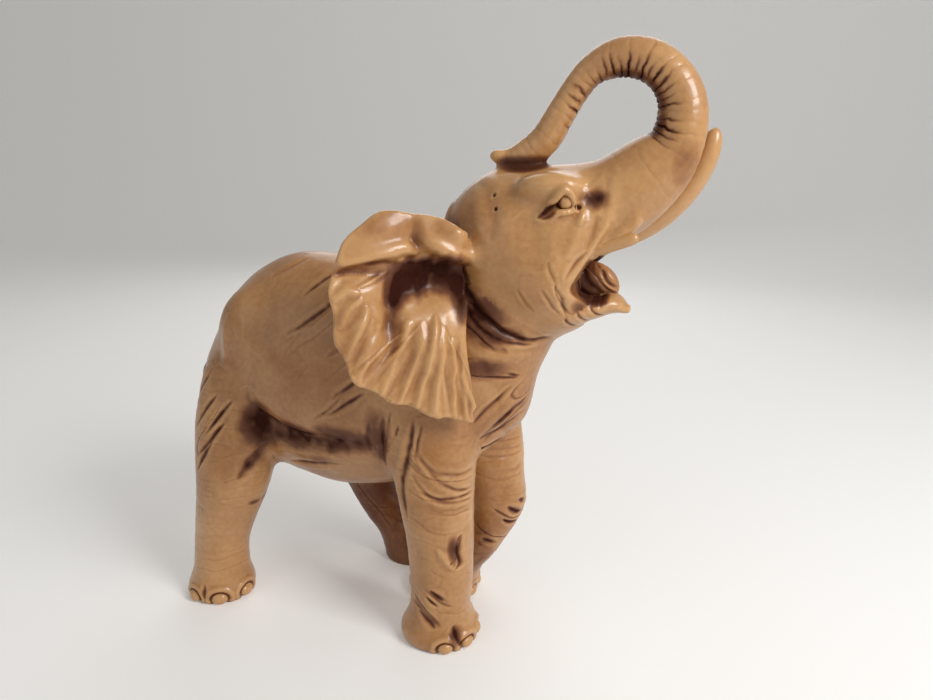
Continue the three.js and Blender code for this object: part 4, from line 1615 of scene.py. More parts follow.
@dataclass
class Head:
    """Skull with its brows, cheeks, lids, tusk sheaths and open mouth.

    Attributes:
        skull: rows of shares along, top, bottom and width of the skull.
        mouth: the open mouth.
        eye: middle of the right eye.
        eye_radius: radius of the eyeballs.
    """

    skull: Sequence[Sequence[float]] = (
        (0.09, 0.19, 0.62, 0.56),
        (0.18, 0.1, 0.74, 0.76),
        (0.32, 0.02, 0.9, 0.94),
        (0.48, 0.0, 0.98, 1.0),
        (0.64, 0.0, 1.0, 0.98),
        (0.78, 0.0, 0.97, 0.88),
        (0.9, 0.02, 0.86, 0.74),
        (1.0, 0.06, 0.6, 0.6),
    )
    mouth: Wedge = field(default_factory=lambda: Wedge((113.0, 160.0), 2.6, 62.0, 48.0, 30.0))
    eye: Point = EYE
    eye_radius: float = EYE_RADIUS

    def shape(self, clay: Clay) -> None:
        """Adds the head to the clay and opens its mouth."""
        rows = []
        for share, top, bottom, width in self.skull:
            half = (head_z(top) - head_z(bottom)) / 2
            rows.append((head_x(share), 0, head_z(bottom) + half, HEAD_WIDTH / 2 * width, half, half))
        clay.put("head", Loft(0, rows, (5.5, 3.0)), 6.0)
        for side in (-1, 1):
            clay.put("head", Oval((97, side * 19, 166), (13, 8.5, 13)), 6.0)
            clay.put("head", Oval((101, side * 18.5, 199.2), (11, 6.8, 5.0), -10 * side), 7.0)
        clay.carve(self.mouth, 1.5)
        clay.carve(Oval((119, 0, 166), (13, 9, 8)), 2.0)
        for y, ahead, up, sizes in SHEATHS:
            clay.put("head", Tube([(x, y, z) for x, z in zip(ahead, up)], sizes, 20), 3.5)
        for side in (-1, 1):
            self.lids(clay, side)

    def lids(self, clay: Clay, side: int) -> None:
        """Adds the lids round one eye.

        Args:
            clay: the clay.
            side: sign of Y.
        """
        x, y, z = self.eye[0], abs(self.eye[1]), self.eye[2]
        clay.carve(Oval((x, side * y, z), (self.eye_radius + 0.3,) * 3), 0.6)
        upper = (
            (x - 10, y + 3.5, z - 6.4),
            (x - 7.1, y + 2.8, z - 3.0),
            (x - 4.1, y + 2.9, z - 0.1),
            (x - 1.7, y + 3.5, z + 2.8),
            (x + 0.3, y + 3.5, z + 4.3),
            (x + 2.3, y + 2.2, z + 2.6),
            (x + 3.3, y + 0.9, z),
            (x + 3.5, y + 0.2, z - 2.8),
        )
        lower = (
            (x - 8.7, y + 4.0, z - 7.4),
            (x - 5.3, y + 3.2, z - 6.0),
            (x - 2.3, y + 2.6, z - 4.3),
            (x + 0.7, y + 1.8, z - 4.0),
            (x + 3.5, y, z - 3.4),
        )
        corner = ((x - 8.5, y + 3.9, z - 5.4), (x - 5.5, y + 3.3, z - 3.3), (x - 2.9, y + 2.6, z - 1.8))
        rows = [(a, side * b, c) for a, b, c in corner]
        lids = (
            (upper, (0.7, 1.2, 1.6, 1.8, 1.7, 1.5, 1.2, 0.7), 40, 1.2),
            (lower, (0.7, 1.1, 1.3, 1.3, 0.8), 20, 1.4),
        )
        for lid, sizes, steps, blend in lids:
            places = [(a, side * b, c) for a, b, c in lid]
            clay.put("head", Tube(places, sizes, steps), blend)
        clay.carve(Tube(rows, (0.5, 0.9, 1.0), 16), 0.5)

    def dress(self, hide: Hide) -> None:
        """Presses the face's folds in, stains the mouth, and paints the shadow under the trunk's tip
        and the shade behind each eye.
        """
        hide.push(0.35 * lattice_noise(hide.points / 14, 22))
        base = mix(BODY_PATINA_AND_SHADE, HEAD_PATINA, smooth((hide.points[:, 0] - 64) / 16))
        hide.wipe(patina(hide.points, base))
        # Painted shadow where the trunk's tip lies on the crown.
        hide.wipe(0.85 * smooth((13 - from_tip(hide.points)) / 5))
        press_sides(hide, FACE)
        inside = self.mouth.distance(*hide.points.T)
        under = smooth((171.5 - 0.5 * (hide.points[:, 0] - 119) - hide.points[:, 2]) / 3)
        hide.wipe(0.95 * under * smooth((0.9 - inside) / 1.8))
        hide.push(-0.05 * wrinkles(hide.points, (14, 12, 8), 21))
        for side in (-1, 1):
            middle = np.array([self.eye[0], side * abs(self.eye[1]), self.eye[2]])
            gap = np.linalg.norm(hide.points - middle, axis=1) - self.eye_radius
            # Stain round each eyeball, deepened behind it as painted shade.
            behind = smooth((self.eye[0] + 1.5 - hide.points[:, 0]) / 3)
            hide.wipe((0.25 + 0.65 * behind) * smooth((0.7 - gap) / 0.6))


@dataclass
class Jaw:
    """Lower jaw with the tongue in it.

    Attributes:
        length: length of the jaw.
        width: width of the jaw.
        depth: depth of the jaw.
        rise: how far the lip rises.
        start: root of the jaw.
    """

    length: float = 38.0
    width: float = 34.0
    depth: float = 14.0
    rise: float = 6.0
    start: Point = (91.2, 0.0, 147.5)

    def shape(self, clay: Clay) -> None:
        """Adds the jaw and the tongue to the clay."""
        shares = (
            (0, 0.1, 0.8, 0.86),
            (0.35, 0.15, 1, 0.96),
            (0.68, 0.5, 0.74, 0.72),
            (0.86, 0.8, 0.52, 0.6),
            (0.96, 0.72, 0.36, 0.46),
            (1.02, 0.46, 0.22, 0.26),
        )
        rows = []
        for share, rise, width, depth in shares:
            half = self.depth / 2 * depth
            place = (self.start[0] + self.length * share, 0, self.start[2] + self.rise * rise)
            rows.append((*place, self.width / 2 * width, half, half))
        clay.put("lower_jaw", Loft(0, rows, (4, 1.6)), 4.0)
        places = ((104, 0, 159), (111, 0, 161), (116.6, 0, 161.8), (120.8, 0, 160.6), (124, 0, 158.6))
        clay.put("tongue", Tube(places, (8.5, 8.2, 6.8, 5.0, 2.7), 30), 0.6)

    def dress(self, hide: Hide) -> None:
        """Wrinkles the chin and stains its inside."""
        marks = (
            Fold(((108, 150), (109, 146), (112, 144)), 0.8, 0.4, 0.5),
            Fold(((113, 151.5), (114, 148), (117, 146)), 0.8, 0.4, 0.5),
            Fold(((117, 153), (119, 150), (122, 149)), 0.7, 0.35, 0.45),
            Fold(((112, 155), (118, 156), (126, 157.5)), 0.8, -0.4, 0.0, 0.1),
        )
        hide.wipe(patina(hide.points, HEAD_PATINA))
        press_sides(hide, marks)
        x, z = hide.points[:, 0], hide.points[:, 2]
        upward = smooth((hide.normals[:, 2] - 0.1) / 0.5) * smooth((124.5 - x) / 3)
        hide.wipe(0.9 * upward * smooth((z - 151) / 3))
        ribs = wrinkles(hide.points, (2.2, 9, 9), 24) * smooth((124 - x) / 4)
        hide.push(-0.3 * ribs * smooth((hide.normals[:, 2] + 0.2) / 0.5))

    def dress_tongue(self, hide: Hide) -> None:
        """Lays the folds along the tongue and stains its root."""
        marks = (
            Fold(((117, 168.4), (119.5, 163), (126, 157)), 1.1, -0.8, 0.0, 0.3),
            Fold(((113, 167), (115.5, 161), (121, 156)), 1.3, 0.9, 0.9),
            Fold(((119.5, 167), (122, 162.5), (126, 159)), 0.9, 0.7, 0.7),
            Hatch((117, 161), (10, 8), -52, 2.4, 0.5, 0.5),
        )
        x, _, z = hide.points.T
        blotch = 0.1 * lattice_noise(hide.points / 4, 25)
        hide.stain = np.clip(0.18 + 0.75 * smooth((121.5 - x - 0.35 * (z - 160)) / 7) + blotch, 0, 1)
        press_sides(hide, marks)


@dataclass
class Trunk:
    """Raised trunk that turns back over the head in a loop.

    Attributes:
        loop: middle of the loop along X and Z.
        loop_radius: radius of the trunk's middle line in the loop.
        base: radius at the forehead.
        bend: radius at the bend.
        top: radius at the top of the loop.
        waist: smallest radius.
        end: radius at the tip.
        ring_spacing: from one ring of skin to the next.
        ring_depth: depth between the rings.
    """

    loop: tuple[float, float] = (124.5, 224.0)
    loop_radius: float = 21.5
    base: float = 15.5
    bend: float = 10.0
    top: float = 7.6
    waist: float = 5.6
    end: float = 6.2
    ring_spacing: float = 3.4
    ring_depth: float = 0.16

    def on_loop(self, degrees: float) -> Point:
        """Returns a point on the loop's middle line."""
        turn = math.radians(degrees)
        x = self.loop[0] + self.loop_radius * math.cos(turn)
        return (x, 0.0, self.loop[1] + self.loop_radius * math.sin(turn))

    def line(self) -> Tube:
        """Returns the whole trunk as a tube."""
        root_z = CROWN + 4.0 - self.base
        start, bend = np.array(self.on_loop(-40)), self.bend
        front = np.array((head_x(1), 0, root_z))
        landing = np.array((head_x(0.56), 0, CROWN + self.end * 0.9))
        descent = np.array(self.on_loop(150))
        stations = [((head_x(1) - 16, 0, root_z - 4.8), self.base * 0.95), (front, self.base)]
        stations.append((front + (start - front) * 0.62, mix(self.base, bend, 0.5)))
        for angle in (-36, -9, 18, 45, 72):
            thick = mix(bend, self.top, float(smooth((angle + 40) / 110)))
            stations.append((self.on_loop(angle), thick))
        for angle in (99, 126, 150):
            thick = mix(self.top, self.waist, float(smooth((angle - 80) / 60)))
            stations.append((self.on_loop(angle), thick))
        stations.append((descent + (landing - descent) * 0.4, mix(self.waist, self.end, 0.4)))
        stations.append((descent + (landing - descent) * 0.8, self.end))
        stations.append((landing + (-self.end * 0.95, 0, -self.end * 0.28), self.end * 0.92))
        stations.append((landing + (-self.end * 1.9, 0, -self.end * 0.5), self.end * 0.7))
        return Tube([tuple(place) for place, _ in stations], [radius for _, radius in stations], 120)

    def shape(self, clay: Clay) -> None:
        """Adds the trunk to the clay."""
        clay.put("trunk", self.line(), 5.0)
        # The front side is fuller than the tube from the lip up to the loop.
        ahead, up = (122, 129.6, 136.6, 142.2, 145.2, 146.2), (189, 193.6, 199.4, 205.6, 212, 219)
        front = [(x, 0, z) for x, z in zip(ahead, up)]
        clay.put("trunk", Tube(front, (13.0, 12.2, 11.0, 9.6, 8.6, 7.6), 40), 3.0)
        x, z = head_x(0.56) - self.end * 2.1, CROWN + self.end * 0.35
        for side in (-1, 1):
            clay.put("trunk", Oval((x - 2.5, side * 2.6, z + 1.8), (3.4, 2.4, 2.6)), 1.6)

    def dress(self, hide: Hide, piece_fade: float = 6.0) -> Array:
        """Stains the inside of the loop, paints shade on both sides of the rising trunk and the shadow
        under its tip, and measures the way along the trunk.

        Args:
            hide: the trunk's hide.
            piece_fade: distance from the seam over which the rings come up.

        Returns:
            For each point the way along the trunk in mm and the strength of the rings there.
        """
        middle = self.line().fine[:, :3]
        steps = np.concatenate([[0], np.cumsum(np.linalg.norm(np.diff(middle, axis=0), axis=1))])
        nearest = np.full(len(hide.points), np.inf)
        way = np.zeros(len(hide.points))
        for a, b, start, stop in zip(middle[:-1], middle[1:], steps[:-1], steps[1:]):
            run = b - a
            t = np.clip((hide.points - a) @ run / max(float(run @ run), 1e-9), 0, 1)
            gap = np.linalg.norm(hide.points - a - t[:, None] * run, axis=1)
            closer = gap < nearest
            nearest[closer], way[closer] = gap[closer], mix(start, stop, t[closer])
        x, _, z = hide.points.T
        inner = np.hypot(x - self.loop[0], z - self.loop[1]) - self.loop_radius
        bent = smooth((way - 40) / 12)
        inward, wedge = smooth((-inner - 3.2) / 4) * bent, smooth((2.8 - inner) / 8) * bent
        spread = np.stack([way / self.ring_spacing, hide.points[:, 1] / 9, way * 0], 1)
        rings = lattice_noise(spread, 31)
        hide.wipe(patina(hide.points, HEAD_PATINA))
        hide.wipe(inward * (0.66 + 0.3 * rings))
        # The wide patch beside the temple marks is painted shade on the side of the rising trunk.
        press_sides(hide, (*TEMPLE, StainAndShadePatch((149, 206), (5.5, 11), 0.3)))
        rim = hide.points[hide.rim]
        fade = np.ones(len(hide.points))
        if len(rim):
            some = rim[:: max(len(rim) // 60, 1)]
            gap = np.min([np.linalg.norm(hide.points - p, axis=1) for p in some], axis=0)
            fade = smooth(gap / piece_fade)
        # Painted shadow on the trunk's tip where it lies on the crown.
        hide.wipe(0.9 * smooth((14 - from_tip(hide.points)) / 6) * smooth((CROWN + 5.5 - z) / 4))
        descent = smooth((way - 150) / 14)
        strength = (1.15 + 2.8 * wedge + 0.9 * inward + 1.4 * descent) * (0.7 + 0.55 * rings)
        return np.stack([way, fade * strength * smooth((way - 16) / 20)], 1)

    def rings(self, piece: Object, finish: Material) -> None:
        """Folds the skin into rings that follow the trunk.

        Args:
            piece: the trunk, with the attributes way and fade.
            finish: its material.
        """
        inputs = {
            "Spacing": ("NodeSocketFloat", self.ring_spacing),
            "Depth": ("NodeSocketFloat", self.ring_depth * MM),
            "Wander": ("NodeSocketFloat", 1.1),
            "Finish": ("NodeSocketMaterial", finish),
        }
        tree = Tree("trunk_rings", inputs)
        given, maths = tree.given, tree.math
        way, fade, old = tree.stored("way"), tree.stored("fade"), tree.stored("stain")
        noise = tree.noise(tree.out("GeometryNodeInputPosition"), 7, 2.0)
        wander = maths("MULTIPLY", given["Wander"], 4.0)
        bent = maths("MULTIPLY_ADD", maths("SUBTRACT", noise, 0.5), wander, way)
        turn = maths("MULTIPLY", maths("DIVIDE", bent, given["Spacing"]), math.pi)
        crest = maths("POWER", maths("ABSOLUTE", maths("SINE", turn)), 0.6)
        full = maths("MULTIPLY", fade, given["Depth"])
        depth = maths("MULTIPLY", maths("SUBTRACT", crest, 1.0), full)
        normal = tree.out("GeometryNodeInputNormal")
        push = tree.out("ShaderNodeVectorMath", {0: normal, "Scale": depth}, operation="SCALE")
        moved = tree.out("GeometryNodeSetPosition", {"Geometry": given["Geometry"], "Offset": push})
        deep = maths("POWER", maths("SUBTRACT", 1.0, crest), 1.1)
        dark = maths("MULTIPLY", deep, maths("MULTIPLY", maths("SUBTRACT", fade, 0.9), 0.5))
        kept = {"Geometry": moved, "Name": "stain", "Value": maths("MAXIMUM", old, dark)}
        kind = {"data_type": "FLOAT", "domain": "POINT"}
        tree.end(tree.out("GeometryNodeStoreNamedAttribute", kept, **kind))
        tree.apply(piece)


# Folded flap, brow and front hem of the ear: places back, up and in front, radii and blend.
ROLLS = (
    (
        ((-2, 11, -0.5), (3, 9.8, 3.6), (9, 10.2, 6.8), (16, 13.5, 6.6), (21, 18, 4.4), (23, 23, 3.0)),
        (2.6, 2.8, 2.7, 2.5, 2.0, 1.2),
        6.0,
    ),
    (
        ((24.5, 12.5, 2.6), (29, 13.6, 3.6), (36, 12.2, 3.6), (44, 10.4, 2.4), (51, 9.5, 1.4)),
        (1.2, 2.0, 2.0, 1.7, 1.0),
        4.0,
    ),
    (
        ((0.6, -9, 0.6), (2.2, -19, 1.0), (0.4, -28, 1.2), (-2.9, -39, 1.2), (-6.2, -51, 1.0)),
        (1.5, 1.5, 1.4, 1.3, 1.1),
        2.0,
    ),
)


@dataclass
class Ear:
    """An ear with its fan of ridges and its rolled top edge.

    Attributes:
        side: side of the head.
        apex: place, back and up from the root, that the ridges fan out from.
        hollow: dark patches of the hollow under the rolled flap, stain deepened with painted shade,
            each a place back and up and a size both ways.
    """

    side: Side
    apex: tuple[float, float] = (14.0, -10.0)
    hollow: tuple[tuple[float, ...], ...] = (
        (10, 1, 14, 7.5),
        (25, 1, 9, 7),
        (19, 7, 12, 3.5),
        (0, -7, 6, 8),
        (-3, -14, 4, 7),
        (29.5, -5, 4, 7),
    )

    def __post_init__(self) -> None:
        """Makes the shell that the ear is built on."""
        self.shell = EarShell(self.side)
        self.name = f"{self.side.name.lower()}_ear"

    def shape(self, clay: Clay) -> None:
        """Adds the ear to the clay."""
        box = self.shell.box(4)
        clay.add(self.name, box, self.shell.distance, 3.0)
        for line, sizes, blend in ROLLS:
            places = [tuple(p) for p in self.shell.world(line)]
            clay.put(self.name, Tube(places, sizes, 40), blend)

    def fan(self, back: Array, up: Array) -> tuple[Array, Array]:
        """Lays the ridges that fan out over the lower lobe.

        Args:
            back: places back from the root in mm.
            up: places up from the root in mm.

        Returns:
            How far the skin stands out in mm, and the stain left between the ridges.
        """
        apex_back, apex_up = self.apex
        b, u = back - apex_back, up - apex_up
        turn, reach = np.degrees(np.arctan2(b, -u)), np.hypot(b, u)
        level, stain = np.zeros(len(back)), np.zeros(len(back))
        for spread, grown, height, seed in ((12.0, 16.0, 0.8, 42), (5.0, 24.0, 0.45, 43)):
            cells = np.stack([turn / spread, reach / 70, turn * 0], 1)
            crest = np.exp(-((3.4 * lattice_noise(cells, seed)) ** 2))
            rise = smooth((reach - 0.35 * grown) / grown)
            level += height * rise * (crest - 0.5)
            stain = np.maximum(stain, 0.16 * rise * (1 - crest))
        within = smooth((turn + 40) / 12) * smooth((66 - turn) / 24)
        return level * within, stain * within

    def dress(self, hide: Hide) -> None:
        """Presses the folds into the front of the ear."""
        front, inverse = self.shell.axes[:, 2], np.linalg.inv(self.shell.axes)
        plane = Plane(tuple(self.shell.place), tuple(inverse[0]), tuple(inverse[1]), tuple(front))
        press(hide, plane, EAR_FRONT)
        places = self.shell.local(hide.points)
        base = mix(HEAD_PATINA, 0.05, smooth((np.hypot(places[:, 0], places[:, 1]) - 8) / 16))
        hide.wipe(patina(hide.points, base))
        level, stain = self.fan(places[:, 0], places[:, 1])
        facing = smooth((hide.normals @ unit(front) - 0.1) / 0.4)
        streaks = lattice_noise(places / (2.4, 15, 15), 45)
        dark = 0.12 * lattice_noise(hide.points / 2.5, 44) + 0.3 * streaks - 0.24
        # The hollow's patches are stain deepened with painted shade under the rolled flap.
        for b, u, wide, high in self.hollow:
            dark += np.exp(-(((places[:, 0] - b) / wide) ** 2) - ((places[:, 1] - u) / high) ** 2)
        hide.wipe(np.clip(dark, 0, 1) * smooth((hide.normals @ unit(front) + 0.3) / 0.4))
        hide.push(level * facing)
        hide.wipe(stain * facing)
        hide.push(0.15 * lattice_noise(places / 9, 41))


NAIL = (0.5, 0.92, 0.7)  # depth, width and height of a nail as shares of its width


@dataclass
class Leg:
    """A leg from its plug in the body down to the sole, with its nails.

    Attributes:
        name: name of the node.
        side: side of the elephant.
        hip: place of its top along X.
        steps: how far ahead of the hip the knee, the shank and the foot stand.
        plug: width at the top.
        depth: depth at the top.
        knee_height: height of the knee.
        knee: diameter of the knee.
        shank: diameter of the shank.
        foot: diameter of the foot.
        stance: across, between the middles of the feet.
        sway: how far to the left the pair of feet steps.
        spacing: across, between the tops.
        nails: number of nails.
        marks: folds and smudges, seen square from the side.
        foot_height: height of the foot.
        plug_height: height of the top.
        nail_width: width of a nail.
        nail_step: degrees from one nail to the next.
        nail_lean: degrees that the middle of the nails is turned out from straight ahead.
        stain: stain left on the whole leg; on the far rear leg it is deepened with painted shade.
    """

    name: str
    side: Side
    hip: float
    steps: tuple[float, float, float]
    plug: float
    depth: float
    knee_height: float
    knee: float
    shank: float
    foot: float
    stance: float
    sway: float
    spacing: float
    nails: int
    marks: Marks = ()
    foot_height: float = 11.0
    plug_height: float = 112.0
    nail_width: float = 7.0
    nail_step: float = 38.0
    nail_lean: float = 4.0
    stain: float = 0.1

    def rows(self) -> list[tuple[float, ...]]:
        """Lists the sections of the leg from the top down."""
        hip_y = self.side.value * self.spacing / 2
        foot_y = self.side.value * self.stance / 2 + self.sway
        knee, shank, foot = self.steps
        plug_z, knee_z = self.plug_height, self.knee_height
        thigh = (mix(self.plug, self.knee, 0.5), mix(self.depth, self.knee, 0.55))
        sections = (
            (0, 0, plug_z, self.plug * 0.62, self.depth * 0.8),
            (knee * 0.25, 0.1, mix(plug_z, knee_z, 0.4), self.plug * 0.96, self.depth),
            (knee * 0.7, 0.4, mix(plug_z, knee_z, 0.75), *thigh),
            (knee, 0.6, knee_z, self.knee * 0.97, self.knee),
            (shank, 0.85, mix(self.foot_height, knee_z, 0.42), self.shank, self.shank),
            (mix(shank, foot, 0.6), 1, self.foot_height * 1.3, self.shank, self.shank),
            (foot, 1, self.foot_height * 0.45, self.foot, self.foot),
            (foot, 1, 0, self.foot * 0.95, self.foot * 0.95),
        )
        return [
            (z, mix(hip_y, foot_y, out), self.hip + ahead, wide / 2, long / 2, long / 2)
            for ahead, out, z, wide, long in sections
        ]

    def foot_middle(self) -> tuple[float, float]:
        """Returns the middle of the foot along X and Y."""
        return self.hip + self.steps[2], self.side.value * self.stance / 2 + self.sway

    def shape(self, clay: Clay) -> None:
        """Adds the leg to the clay."""
        clay.put(self.name, Loft(2, self.rows(), (5.0, 0.5)), 7.0)

    def dress(self, hide: Hide) -> None:
        """Wrinkles the leg and stains round its nails."""
        hide.push(0.3 * lattice_noise(hide.points / 12, 61 + len(self.name)))
        # Lower down the stain moves to the leg's own value; the far rear leg's high value is painted
        # shade.
        base = mix(BODY_PATINA_AND_SHADE, self.stain, smooth((90 - hide.points[:, 2]) / 34))
        hide.wipe(patina(hide.points, base))
        press_sides(hide, self.marks)
        z = hide.points[:, 2]
        rings = wrinkles(hide.points, (18, 18, 5), 51 + len(self.name)) * smooth((z - 3) / 8)
        hide.push(-0.12 * rings)
        deep, wide, tall = (size / 2 * self.nail_width for size in NAIL)
        edge = np.full(len(z), FAR)
        for turn in self.nail_turns():
            offset = hide.points - self.nail_middle(turn)
            out = offset[:, 0] * math.cos(turn) + offset[:, 1] * math.sin(turn)
            aside = offset[:, 1] * math.cos(turn) - offset[:, 0] * math.sin(turn)
            gap = np.sqrt((out / deep) ** 2 + (aside / wide) ** 2 + (offset[:, 2] / tall) ** 2) - 1
            edge = np.minimum(edge, gap * tall)
        swell = 0.6 * np.exp(-(((edge - 2.0) / 1.1) ** 2))
        hide.push(swell - 0.5 * np.exp(-(((edge - 0.5) / 0.8) ** 2)))
        above = smooth((z - 0.25 * tall) / tall)
        hide.wipe((0.3 + 0.4 * above) * np.exp(-(((edge - 0.4) / 0.55) ** 2)))
        hide.wipe(0.6 * smooth((1.6 - z) / 1.6))
        hide.points[:, 2] = np.maximum(hide.points[:, 2], 0)

    def nail_middle(self, turn: float) -> Point:
        """Returns the middle of the nail at an angle round the foot."""
        x, y = self.foot_middle()
        reach = self.nail_reach()
        return (x + reach * math.cos(turn), y + reach * math.sin(turn), self.nail_width * NAIL[2] / 2)

    def nail_reach(self) -> float:
        """Returns how far the middles of the nails are from the middle of the foot."""
        return self.foot / 2 - self.nail_width * 0.08

    def nail_turns(self) -> list[float]:
        """Lists the angles of the nails round the foot."""
        lean, step = self.side.value * math.radians(self.nail_lean), math.radians(self.nail_step)
        return [(i - (self.nails - 1) / 2) * step + lean for i in range(self.nails)]

    def nail_piece(self, finish: Material) -> Object:
        """Sets the nails round the foot.

        Args:
            finish: their material.

        Returns:
            One piece with all nails of this foot.
        """
        middle = row_place(*self.foot_middle(), self.nail_width * NAIL[2] / 2)
        inputs = {
            "Count": ("NodeSocketInt", self.nails),
            "Middle": ("NodeSocketVector", middle),
            "Reach": ("NodeSocketFloat", self.nail_reach() * MM),
            "Spacing": ("NodeSocketFloat", math.radians(self.nail_step)),
            "First": ("NodeSocketFloat", self.nail_turns()[0]),
            "Size": ("NodeSocketFloat", self.nail_width * MM),
            "Finish": ("NodeSocketMaterial", finish),
        }
        tree = Tree(f"{self.name}_nails", inputs)
        given, maths = tree.given, tree.math
        number = tree.out("GeometryNodeInputIndex")
        turn = maths("MULTIPLY_ADD", number, given["Spacing"], given["First"])
        ahead, across = (
            maths("MULTIPLY", maths(part, turn), given["Reach"]) for part in ("COSINE", "SINE")
        )
        spot = {0: tree.vector(ahead, across, 0.0), 1: given["Middle"]}
        place = tree.out("ShaderNodeVectorMath", spot, operation="ADD")
        points = tree.out("GeometryNodePoints", {"Count": given["Count"], "Position": place})
        ball = {"Segments": 28, "Rings": 18, "Radius": 0.5}
        nail = tree.add("GeometryNodeMeshUVSphere", ball).outputs["Mesh"]
        full = {0: NAIL, "Scale": given["Size"]}
        size = tree.out("ShaderNodeVectorMath", full, operation="SCALE")
        shaped = tree.out("GeometryNodeTransform", {"Geometry": nail, "Scale": size})
        facing = tree.out("FunctionNodeAxisAngleToRotation", {"Axis": (0, 0, 1), "Angle": turn})
        nails = {"Points": points, "Instance": shaped, "Rotation": facing}
        tree.end(tree.out("GeometryNodeInstanceOnPoints", nails))
        return tree.piece(f"{self.name}_nails")


@dataclass
class Tusk:
    """A tusk on an arc that turns up from its root under the lip.

    Attributes:
        name: name of the node.
        root: middle of the root.
        length: length.
        diameter: diameter at the root.
        tilt: degrees above level at the root.
        bend: degrees that it turns up along its length.
        taper: share of the diameter lost before the tip is rounded.
    """

    name: str
    root: Point
    length: float
    diameter: float
    tilt: float
    bend: float
    taper: float

    def build(self, finish: Material) -> Object:
        """Sweeps the tusk along its arc.

        Args:
            finish: its material.

        Returns:
            The piece.
        """
        inputs = {
            "Root": ("NodeSocketVector", row_place(*self.root)),
            "Length": ("NodeSocketFloat", self.length * MM),
            "Radius": ("NodeSocketFloat", self.diameter / 2 * MM),
            "Tilt": ("NodeSocketFloat", math.radians(self.tilt)),
            "Bend": ("NodeSocketFloat", math.radians(self.bend)),
            "Taper": ("NodeSocketFloat", self.taper),
            "Finish": ("NodeSocketMaterial", finish),
        }
        tree = Tree(self.name, inputs)
        given, maths = tree.given, tree.math
        straight = tree.out("GeometryNodeCurvePrimitiveLine")
        fine = tree.out("GeometryNodeResampleCurve", {"Curve": straight, "Count": 72})
        share = tree.add("GeometryNodeSplineParameter").outputs["Factor"]
        arc = maths("DIVIDE", given["Length"], given["Bend"])
        turn = maths("MULTIPLY_ADD", share, given["Bend"], given["Tilt"])
        ahead = maths("SUBTRACT", maths("SINE", turn), maths("SINE", given["Tilt"]))
        rise = maths("SUBTRACT", maths("COSINE", given["Tilt"]), maths("COSINE", turn))
        spot = tree.vector(maths("MULTIPLY", ahead, arc), 0.0, maths("MULTIPLY", rise, arc))
        place = tree.out("ShaderNodeVectorMath", {0: spot, 1: given["Root"]}, operation="ADD")
        laid = tree.out("GeometryNodeSetPosition", {"Geometry": fine, "Position": place})
        thin = maths("MULTIPLY", maths("POWER", share, 2.0), given["Taper"])
        tip = maths("SQRT", maths("SUBTRACT", 1.0001, maths("POWER", share, 14.0)))
        left = maths("MULTIPLY", maths("SUBTRACT", 1.0, thin), tip)
        size = maths("MULTIPLY", left, given["Radius"])
        sized = tree.out("GeometryNodeSetCurveRadius", {"Curve": laid, "Radius": size})
        ring = tree.out("GeometryNodeCurvePrimitiveCircle", {"Resolution": 40, "Radius": 1.0})
        sweep = {"Curve": sized, "Profile Curve": ring, "Fill Caps": True}
        swept = tree.add("GeometryNodeCurveToMesh", sweep)
        if "Scale" in swept.inputs:
            tree.tree.links.new(size, swept.inputs["Scale"])
        tree.end(swept.outputs[0])
        return tree.piece(f"{self.name}_ivory")


@dataclass
class Tail:
    """Tail with its tuft, tucked behind the rump.

    Attributes:
        root: middle of its root.
        length: how far it hangs.
        radius: radius at the root.
    """

    root: Point = (-70.3, 0.0, 118.6)
    length: float = 66.0
    radius: float = 3.5

    def shape(self, clay: Clay) -> None:
        """Adds the tail to the clay."""
        shares = (
            (0.14, -0.06, 0, 1),
            (0, 0, 0, 1),
            (-0.07, 0.18, 0.03, 0.9),
            (-0.09, 0.45, 0.075, 0.72),
            (-0.05, 0.72, 0.12, 1.18),
            (0.015, 1, 0.15, 0.3),
        )
        places = [
            (self.root[0] + a * self.length, across * self.length, self.root[2] - below * self.length)
            for a, below, across, _ in shares
        ]
        clay.put("tail", Tube(places, [self.radius * size for *_, size in shares], 40), 1.6)

    def dress(self, hide: Hide) -> None:
        """Combs the tuft."""
        hide.wipe(patina(hide.points, BODY_PATINA_AND_SHADE))
        x, y, z = hide.points.T
        tuft = smooth((self.root[2] - self.length * 0.5 - z) / 8)
        around = np.arctan2(y - self.length * 0.12, x - self.root[0] + 4)
        strands = np.abs(np.sin(around * 7 + z * 0.12))
        hide.push(-0.35 * tuft * (1 - strands) ** 1.5)
        hide.wipe(0.8 * tuft * (1 - strands) ** 2)


@dataclass
class Eye:
    """An eyeball in its socket.

    Attributes:
        side: side of the head.
        middle: middle of the right eye.
        radius: radius.
    """

    side: Side
    middle: Point = EYE
    radius: float = EYE_RADIUS

    def build(self, finish: Material) -> Object:
        """Makes the plain ball, with painted shade on its back and under its upper lid.

        Args:
            finish: its material.

        Returns:
            The piece.
        """
        name = f"{self.side.name.lower()}_eye_ball"
        mesh = bpy.data.meshes.new(name)
        shell = bmesh.new()
        bmesh.ops.create_icosphere(shell, subdivisions=5, radius=1.0)
        shell.to_mesh(mesh)
        shell.free()
        points = np.zeros(len(mesh.vertices) * 3)
        mesh.vertices.foreach_get("co", points)
        points = points.reshape(-1, 3)
        # Painted shade: dark on the back of the ball and under the upper lid.
        rim = 2.6 * smooth((-0.1 - points[:, 0]) / 0.6) + smooth((points[:, 2] - 0.5) / 0.4)
        x, y, z = self.middle
        place = np.array([x - SETTING_OUT, -self.side.value * y, z])
        mesh.vertices.foreach_set("co", ((points * self.radius + place) * MM).ravel())
        stain = mesh.attributes.new("stain", "FLOAT", "POINT")
        stain.data.foreach_set("value", np.clip(0.25 * rim, 0, 1).astype(np.float32))
        mesh.materials.append(finish)
        mesh.shade_smooth()
        mesh.update()
        return new_piece(name, mesh)


